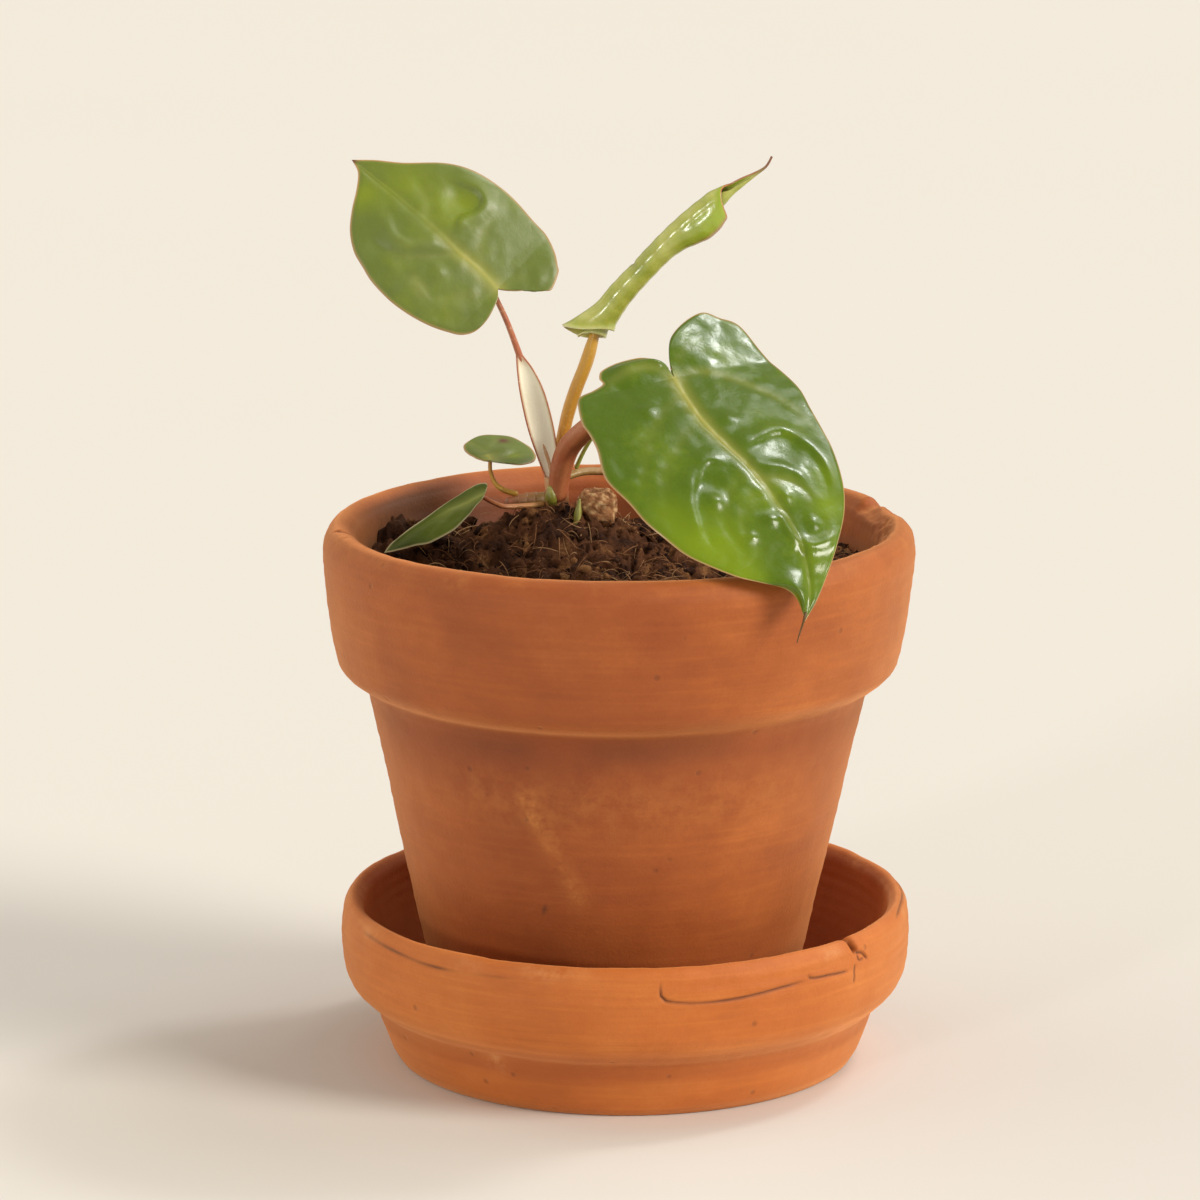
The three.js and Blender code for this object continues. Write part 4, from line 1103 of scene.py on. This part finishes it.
# %% Leaf drawings
FRONT_LEAF = {
    "joint": [10.2, -20, 155.7], "tip": [37.2, -62, 112], "facing": [0.25, -0.64, 0.73],
    "arch": 6, "droop": 0.003, "curl": 2.2, "wave": 0.12, "rib_depth": 0.55, "rib_end": 0.85, "seed": 41,
    "midrib": [[0, 0], [1, 12.5], [0, 21], [-2.3, 29], [-4, 37.6], [-5.3, 46], [-5.2, 53], [-3.4, 60],
               [0, 66.3]],
    "left": [[0, 0], [-0.7, -2.8], [-1.8, -6.4], [-4.1, -10.3], [-8.3, -13.4], [-12.4, -15.1],
             [-15.3, -15.3], [-18, -13.5], [-20.6, -11.9], [-22.1, -9.2], [-23.4, -3.6], [-25.1, 2.9],
             [-25.9, 9.9], [-25.1, 16], [-24.3, 23.9], [-23.6, 29.5], [-21.6, 38.5], [-18.7, 45.1],
             [-14.3, 51.3], [-9.7, 56.9], [-4.4, 62.6], [0, 66.3]],
    "right": [[0, 0], [0.3, -2.7], [0.8, -5.6], [2.9, -7.4], [5.4, -8.3], [9.6, -8.4], [13.5, -7.3],
              [15.1, -5.3], [15.3, -3.3], [18.2, -2.1], [21.9, -1.2], [23.4, 1], [25.2, 6.3],
              [25.4, 10.3], [26.1, 15], [27.9, 21], [28.1, 24.8], [26.4, 30.9], [25.2, 36.5],
              [23.1, 41.2], [20.3, 46], [16.5, 49.7], [11.2, 53.9], [6.4, 56.5], [1.8, 58.8], [0, 61.6],
              [0, 66.3]],
    "ridges": [
        ([[-0.8, 25.4], [-5.3, 23.6], [-8.8, 22.5], [-12.3, 21.7], [-15.2, 22.4], [-17.4, 25.2],
          [-19.2, 29.1], [-19.7, 33.6], [-18.8, 38.8], [-16.5, 43]], 0.65, 2.6, 1.1, 0),
        ([[-2.3, 28.6], [-5.3, 30.3], [-8.1, 31.2], [-10.5, 32.3], [-12.5, 34.5], [-13.6, 38]],
         0.4, 1.7, 1.0, 0),
        ([[-3.2, 32.8], [-4.8, 33.9], [-7.7, 34.4], [-10.5, 36.3], [-12.1, 38.7], [-12.3, 41.5],
          [-10.8, 44.2]], -0.2, 1.0, 1.0, 0.8),
        ([[-3.6, 41], [-4, 44.4], [-4.3, 47.1], [-5.2, 49.6], [-7.4, 51.2], [-10.3, 51.5],
          [-13.6, 50.2], [-16, 47.5]], 0.7, 1.7, 1.3, 0),
        ([[1, 28], [3.8, 26.6], [6, 25.9], [8.8, 27.7], [11.6, 30.5], [13.9, 34.4], [15, 38],
          [15.5, 41.6], [15.2, 46], [13, 50]], 0.6, 2.8, 0.9, 0),
        ([[-1.6, 31], [1.8, 32.5], [6.1, 36.4], [8.7, 41.1], [8.7, 46.7], [6, 52.3]],
         -0.2, 1.3, 1.3, 0.2),
        ([[-3.6, 37], [0.9, 38.3], [4.3, 41.2], [5.5, 45], [4.1, 48.9], [0.4, 52.1]],
         -0.2, 1.2, 1.2, 0.2),
        ([[-0.3, 1.5], [-3.5, -0.4], [-6.6, -0.2], [-12.1, 3.3], [-16.6, 8.6], [-20.8, 14.6],
          [-22.5, 23], [-22.1, 31.8]], -0.2, 1.8, 1.8, 0.9),
        ([[-0.6, -0.2], [-3.4, -4.8], [-8.5, -8.4], [-14.7, -9.8]], -0.12, 1.4, 1.4, 0.3),
        # The lobe's vein, drawn fully pale also as a painted sheen along the curled lobe edge.
        ([[0.5, -0.5], [3, -3.4], [7, -4.4], [12, -3.6], [19.5, -0.1]], 0.2, 1.6, 1.6, 1.0),
        ([[0.6, -2.6], [2.4, -5], [5, -5.9], [8.2, -6.2], [11.3, -5.8], [14, -4]], 0.45, 1.0, 1.0, 0),
        ([[0.4, 5.2], [7.8, 9.7], [15.9, 18.1], [20.7, 26.6], [22.3, 34.2], [21.9, 40.8]],
         -0.08, 1.6, 1.6, 0.3),
        ([[0.6, 14.3], [7.7, 18.2], [14.6, 25], [19, 32.5], [20.2, 40.3], [18, 46.6]],
         -0.1, 1.6, 1.6, 0.25),
    ],
    "swells": [[11, 8.5, 2.2, 0.55], [-4.6, 15.8, 1.9, 0.5], [-9.1, 0.8, 2.2, 0.45],
               [8.9, 36.4, 2.0, 0.7], [-1.0, 43.9, 1.5, 0.6], [4.9, 46.4, 1.3, 0.5],
               [-6.9, 38.9, 1.4, 0.45], [-10.2, 46.2, 1.7, 0.6], [0.5, 61, 4.5, 1.8],
               [-5, -9, 5, 0.6], [-12, 28, 4, -0.5], [7.5, 32, 4, -0.6], [-8.5, 45.5, 3.2, -0.5]],
    "patches": [[12, 48, 7, 0.9], [-15.5, 43, 4, 0.9], [-18.5, 36, 4, 0.5], [19, 44, 6, 0.6],
                [20, 36, 5, 0.5], [9, 55, 4, 0.6], [-13, 20, 5, 0.2]],
    "specks": [],
}
UPPER_LEAF = {
    "joint": [-28.2, 20, 168.2], "tip": [-60.6, 31.2, 195.2], "facing": [0.12, -0.86, 0.5],
    "arch": 3, "droop": 0.004, "curl": 0, "wave": 0.08, "rib_depth": 0.3, "rib_end": 0.5, "seed": 42,
    "midrib": [[0, 0], [0.1, 6.3], [-0.3, 11.6], [-0.2, 17.2], [-0.3, 23.7], [-0.2, 32.1], [0, 43.7]],
    "left": [[0, 0], [-1.4, -1.3], [-3.4, -2.2], [-7, -3.1], [-10.6, -3], [-13.2, -1.5], [-15, 1.3],
             [-16.9, 5], [-18.2, 9], [-19, 13.7], [-19.1, 17.5], [-18.7, 21.1], [-17.7, 24.4],
             [-16.3, 28.4], [-13.4, 32.2], [-9.4, 35.3], [-4.7, 38.1], [-1.4, 40.7], [0, 43.7]],
    "right": [[0, 0], [1.1, -1.6], [3.1, -3.8], [4.8, -5.3], [7, -7.8], [8.6, -8.6], [12.5, -7],
              [13.6, -5.8], [15.7, -3], [17.3, 0.7], [17.5, 5.2], [18, 11.2], [17.6, 16.6],
              [16.1, 22.8], [13.2, 28], [7, 34.6], [3.4, 39.7], [0, 43.7]],
    "ridges": [
        ([[-0.2, 1.2], [-3.6, 1.9], [-6.5, 4], [-9.8, 6.2], [-12.4, 9.2], [-13, 14]],
         -0.15, 1.5, 1.5, 0.4),
        ([[-0.2, 10.2], [-3.4, 13.7], [-6.8, 16.8], [-10.3, 20.7], [-11.9, 25.7], [-11.7, 30.2]],
         -0.5, 1.8, 1.2, 0.4),
        ([[-0.4, 17], [-4.1, 18], [-7.1, 20.5], [-8, 24], [-6.6, 27.6], [-3.9, 29.6]], 0.5, 2.2, 1.2, 0.3),
        ([[0.3, 1.2], [2.9, -0.6], [6.9, -2.7], [9.2, -5.6]], -0.12, 1.3, 1.3, 0.3),
        ([[0.2, 5], [3.1, 8.2], [7.1, 11], [13, 12], [16.4, 9.5]], -0.12, 1.5, 1.5, 0.5),
        ([[2, 14.4], [5.5, 16], [9.4, 14.6], [12.6, 15.4], [13.6, 18.6], [12.2, 22.4], [10, 26]],
         0.9, 2.4, 0.8, 0),
        ([[0, 20.4], [1.6, 22.8], [3.6, 24.6], [5.2, 28], [5.2, 32]], -0.3, 1.4, 1.4, 0.3),
        # A low ridge with a painted highlight along it.
        ([[-12.2, 14], [-12.9, 10.5], [-13.1, 7.5]], 0.1, 0.7, 0.7, 0.9),
    ],
    "swells": [[-7.1, 11.7, 1.8, 0.35], [-4.9, 3.3, 1.6, 0.35], [8.2, -4.7, 1.6, 0.3],
               [-12.5, 20.5, 2.2, 0.3], [9, 20, 3.4, -0.9], [-6.3, 30.9, 3, 0.4], [12.5, -3, 3, 0.3]],
    "patches": [[7, 20, 5, 0.6], [4, 30, 6, 0.6], [-5, 36, 4, 0.8], [10, 18, 3, 0.4]],
    "specks": [[0, 43.4, 0.9, 1]],
}
LOW_LEAF = {
    "joint": [-31.4, 17, 122.4], "tip": [-53.1, 1.2, 112.6], "facing": [-0.15, -0.36, 0.92],
    "arch": 1, "droop": 0.002, "curl": 0, "wave": 0.04, "rib_depth": 0.3, "rib_end": 0.55, "seed": 43,
    "midrib": [[0, 0], [0.3, 14], [0, 28.5]],
    "left": [[0, 0], [-0.7, 0.6], [-2.6, 4.3], [-4.9, 8.6], [-6.7, 14], [-6.2, 19.9], [-4, 23.1],
             [-1.8, 26.5], [0, 28.5]],
    "right": [[0, 0], [1.2, -1.6], [3, -3.2], [4.7, -1.4], [4, 4.3], [2.4, 13.3], [1.7, 21.3],
              [1.2, 25.7], [0, 28.5]],
    "ridges": [([[0.1, 3], [-2, 7], [-4, 12], [-4.6, 16]], -0.2, 0.9, 0.9, 0.3),
               ([[0.2, 9], [-1.6, 13], [-3.2, 18], [-3.2, 21]], -0.2, 0.9, 0.9, 0.3)],
    "swells": [[-2.4, 9, 2.2, 0.25], [-2.6, 16, 2.4, 0.25]],
    "patches": [[-3, 14, 6, 0.5]],
    "specks": [],
}
BACK_LEAF = {
    "joint": [-30.1, 31, 127.2], "tip": [-35.6, 40.5, 129.8], "facing": [-0.02, -0.27, 0.96],
    "arch": 0.3, "droop": 0.008, "curl": 0, "wave": 0.03, "rib_depth": 0.25, "rib_end": 0.3, "seed": 44,
    "midrib": [[0, 0], [0.6, 5], [0, 11]],
    "left": [[0, 0], [-1.5, 0.9], [-2.6, 3.3], [-3, 6.4], [-2, 9.4], [0, 11]],
    "right": [[0, 0], [2.1, -2.2], [4.3, -4.4], [6.4, -4.9], [8.8, -4], [10.5, -1.8], [11.4, 1.4],
              [11.2, 4.5], [10, 9.1], [6.8, 11.7], [3.4, 12.3], [0, 11]],
    "ridges": [([[0.1, 1], [3, 0.4], [6, 0.6], [9, 2]], -0.2, 0.9, 0.9, 0.3),
               ([[0.4, 4], [3, 5.4], [6, 7.4], [8, 9]], -0.2, 0.9, 0.9, 0.3)],
    "swells": [[5, 3, 2, 0.25], [6, -2, 2, 0.2]],
    "patches": [[5.8, -0.6, 1.6, 1.0]],
    "specks": [[7.1, 7.2, 1.3, 1]],
}
for leaf in (FRONT_LEAF, UPPER_LEAF, LOW_LEAF, BACK_LEAF):
    print("a leaf of", round(float(leaf_axes(leaf)[-1]), 1), "mm from joint to tip")

# %% [markdown]
# ## Leaf skin
# The big leaf is glossy and deep green, the others are greyer and duller. One function makes all three
# skins from a few colours, because they share their pattern: veins with a few painted highlights in their
# colour, midrib, a thin margin of another colour and a paler back. The colours lie over each other as
# coats, each with a mask from the mesh.

# %% Leaf skins and leaves
def leaf_material(name, roughness, specular, deep, fresh, vein_and_highlight, rib, margin, under):
    """Leaf skin: a mottle of two greens, fresher in the patches, with the veins' and the midrib's own
    colours, painted highlights in the vein colour, a paler back, a thin coloured margin and brown specks."""
    material, tree, shader = new_material(
        name, roughness=roughness, Specular_IOR_Level=specular, Subsurface_Weight=0.08,
        Subsurface_Scale=0.001)
    mottle = use_group(tree, MOTTLE, Light=rgb(fresh), Middle=rgb(deep), Dark=rgb(deep), Scale=70.0,
                       Stretch=EVEN)
    color = blend(tree, 0.45, mottle["Color"], rgb(deep))
    color = paint_masks(tree, color, ("patch", 1.0, fresh))
    net = use_group(tree, NET, Scale=620.0, Width=0.07)
    color = blend(tree, maths(tree, "MULTIPLY", net["Lines"], 0.06), color, rgb(vein_and_highlight))
    # The vein mask also paints a few highlights in the vein colour.
    color = paint_masks(tree, color, ("vein_and_highlight", 0.6, vein_and_highlight), ("midrib", 1.0, rib))
    back = blend(tree, remap(tree, mottle["Cloud"], 0.3, 0.7), rgb(under), rgb(vein_and_highlight))
    color = blend(tree, attribute(tree, "under"), color, back)
    color = paint_masks(tree, color, ("edge", 0.9, margin), ("speck", 1.0, "603420"))
    tree.links.new(color, shader["Base Color"])
    gloss = remap(tree, noise(tree, 420.0, detail=3.0), 0.3, 0.7, roughness - 0.05, roughness + 0.07)
    tree.links.new(gloss, shader["Roughness"])
    pores = maths(tree, "MULTIPLY", noise(tree, 2600.0, detail=3.0, rough=0.6), 0.5)
    skin = maths(tree, "ADD", maths(tree, "MULTIPLY", net["Pillow"], 0.25), pores)
    tree.links.new(raise_surface(tree, skin, 0.05, 0.8), shader["Normal"])
    return material


deep_leaf = leaf_material("deep green leaf", 0.2, 0.5, deep="4a6400", fresh="708800", vein_and_highlight="80883a",
                          rib="a09e4c", margin="c9a070", under="8a9a58")
grey_leaf = leaf_material("grey green leaf", 0.42, 0.6, deep="627226", fresh="7a8a08", vein_and_highlight="8f9650",
                          rib="a3a34a", margin="c09468", under="8f9a6a")
small_leaf = leaf_material("small leaf", 0.45, 0.22, deep="3c4a00", fresh="5a6800", vein_and_highlight="78803a",
                           rib="8c9448", margin="cdbf94", under="8a9450")
# The front leaf's tip runs out in a thin brown thread that water drips from.
drip_tip = tube([[37.3, -61.8, 113.6], [36.8, -62.7, 111.9], [36.1, -63.3, 109.9], [35.5, -63.4, 107.8]],
                [0.35, 0.24, 0.17, 0.12], 8, 24, plain, {"speck": lambda share, angle: 0.8})
front_leaf = join(leaf_shape(FRONT_LEAF, 250, 62, 0.26), drip_tip)
add_piece("front_leaf", front_leaf, deep_leaf, "front_leaf_blade")
add_piece("upper_leaf", leaf_shape(UPPER_LEAF, 200, 50, 0.26), grey_leaf, "upper_leaf_blade")
add_piece("low_leaf", leaf_shape(LOW_LEAF, 110, 22, 0.24), small_leaf, "low_leaf_blade")
add_piece("back_leaf", leaf_shape(BACK_LEAF, 90, 24, 0.24), grey_leaf, "back_leaf_blade")

# %% [markdown]
# ## The leaf that is still rolled
# The newest leaf hasn't opened. Seen from its end it is a spiral: one sheet wound one and a half
# times round a bent axis. Its free edge stands out on the lower side, its foot is cut aslant, and
# only a slim open fold goes on to the tail.

# %% Rolled leaf
ROLL_AXIS = [[-6.5, 24, 158.7], [-1.6, 22.9, 166.1], [5.3, 21.6, 174], [12, 20.3, 181.2],
             [19.2, 19, 187.5], [25.1, 17.9, 192], [28.1, 17.2, 194], [30.7, 16.6, 195.9], [32, 16, 198.2]]
ROLL_RADIUS, ROLL_PITCH = 2.7, 0.95
ROLL_OUTER_END, ROLL_TURN = math.radians(75), math.radians(530)
SEAMS, SEAM_SLANT = 95, 1.2
CREASE_SHARE = 0.3


def roll_shape(rows, columns):
    """A spiral about each point of the axis: the radius shrinks by one pitch a turn. The flange is
    a bell along the axis that lifts the free edge, the flare widens the foot, and the reach slides
    the foot's edge along the axis, so that it is cut aslant and its inner turns stay inside."""
    s = np.linspace(0, 1, rows)[:, None]
    centre = even_path(ROLL_AXIS, rows)
    tangent = unit(np.gradient(centre, axis=0))
    front, below = across_of(tangent)
    tail = smooth(0.7, 0.8, s)
    start = ROLL_OUTER_END - ROLL_TURN + tail * 1.6 + smooth(0.8, 1, s) * 2.4
    end = ROLL_OUTER_END - tail * 3.4
    j = np.linspace(0, 1, columns)[None]
    angle = start + (end - start) * j
    level = 0 * angle
    body = (ROLL_RADIUS + 0.5 * bell(s / 0.2) - tail * 0.95) * (1 - 0.9 * smooth(0.78, 0.96, s))
    inward = ROLL_PITCH * (ROLL_OUTER_END - angle) / (2 * math.pi) * (1 - 0.9 * smooth(0.78, 0.98, s))
    flange = 2.9 * bell((s - 0.62) / 0.13) * smooth(-0.1, 1.3, angle) * (1 - tail)
    flare = 3.2 * (1 - smooth(0, 0.12, s)) * bell((angle + math.pi / 2) / 0.9) + 0.5 * bell(s / 0.02)
    seam = np.sin(s * SEAMS + SEAM_SLANT * angle)
    seams = 0.035 * seam * smooth(0.05, 0.2, s) * (1 - tail)
    crease = 0.35 * bell((s - CREASE_SHARE) / 0.012) * bell((angle + 1.6) / 0.8)
    soft = 0.04 * lumps(np.stack([s * 46 + level, angle * 2.6, level], axis=-1), 4.0, 51)
    radius = body - inward + flange + flare + seams - crease + soft
    inner_turn = bell((angle - ROLL_OUTER_END + 6.6) / 1.5)
    reach = (2.5 * np.sin(angle) + 2.2 * np.cos(angle) - 1.2 - 2.4 * inner_turn) * (1 - smooth(0, 0.15, s))
    points = (centre[:, None] + tangent[:, None] * reach[..., None]
              + front[:, None] * (np.cos(angle) * radius)[..., None]
              + below[:, None] * (np.sin(angle) * radius)[..., None])
    free = smooth(0.955, 1.0, j) + level
    values = {"edge": free * smooth(0.45, 0.6, s), "rim": bell(s / 0.012) + level,
              "crease": bell((s - CREASE_SHARE) / 0.02) * bell((angle + 1.6) / 0.9),
              "line": 0.5 + 0.5 * seam, "tail": smooth(0.86, 0.97, s) + level,
              "flush": smooth(0.4, 0.7, s) * smooth(0.8, 0.95, j)}
    return sheet(points, 0.28 - 0.14 * free - 0.1 * smooth(0.9, 1, s), values)


def roll_material():
    """Glossy yellow green with faint cross seams, a pale rim, painted shade in the crease, a brown free
    edge and a brown tail.
    """
    material, tree, shader = new_material(
        "rolled leaf", roughness=0.26, Specular_IOR_Level=0.55, Coat_Weight=0.4, Coat_Roughness=0.12,
        Subsurface_Weight=0.1, Subsurface_Scale=0.001)
    mottle = use_group(tree, MOTTLE, Light=rgb("c6ca72"), Middle=rgb("b0b84e"), Dark=rgb("98a43e"),
                       Scale=150.0, Stretch=EVEN)
    # The crease colour is painted shade in the crease.
    color = paint_masks(tree, mottle["Color"], ("line", 0.12, "7f8c38"), ("flush", 1.0, "9db434"),
                        ("crease", 0.6, "6d6a28"), ("rim", 1.0, "d4d890"), ("edge", 1.0, "b07048"),
                        ("tail", 1.0, "8a5a3c"))
    tree.links.new(color, shader["Base Color"])
    tree.links.new(raise_surface(tree, noise(tree, 900.0, detail=3.0), 0.08), shader["Normal"])
    return material


add_piece("rolled_leaf", roll_shape(200, 104), roll_material(), "new_leaf_roll")

# %% [markdown]
# ## The lump of coir
# Beside the stem lies a ball of coconut fibre. Its core is a dented ball, and strands are wound
# over it: each one starts and ends on the ball and bows outwards.

# %% Coir lump
LUMP_PLACE, LUMP_SIZE = np.array([-6.4, 23.6, 118.6]), np.array([4.3, 3.4, 4.0])


def lump_shape(count):
    """A dented ball, pressed a little towards a block, with strands between places on it."""
    down = np.linspace(0.1, math.pi - 0.1, 48)[:, None]
    turn = np.linspace(0, 2 * math.pi, 72, endpoint=False)[None]
    ball = np.stack([np.sin(down) * np.cos(turn), np.sin(down) * np.sin(turn), np.cos(down) + 0 * turn],
                    axis=-1)
    ball = np.sign(ball) * np.abs(ball) ** 0.8
    dents = (0.95 + 0.3 * lumps(ball * 1.6 + 9, 1.0, 61) + 0.1 * lumps(ball * 4, 1.0, 62)
             + 0.035 * lumps(ball * 9, 1.0, 63))
    core = ring_shape(LUMP_PLACE + ball * dents[..., None] * LUMP_SIZE,
                      {"tint": 0.66 + 0.6 * lumps(ball * 5, 1.0, 64)})
    first = unit(random.normal(0, 1, (count, 3)))
    second = unit(first + random.normal(0, 0.7, (count, 3)))
    reach = LUMP_SIZE * random.uniform(0.9, 1.06, (count, 1))
    bows = (first + second) * 0.5 * LUMP_SIZE * random.uniform(0.02, 0.16, (count, 1))
    strands = strand_shape(LUMP_PLACE + first * reach, LUMP_PLACE + second * reach, bows,
                           random.uniform(0.04, 0.1, count), random.uniform(0.3, 1.0, count))
    return join(core, strands)


LUMP_STRANDS = 130
add_piece("coir_ball", lump_shape(LUMP_STRANDS), fibre_brown, "coir_lump")
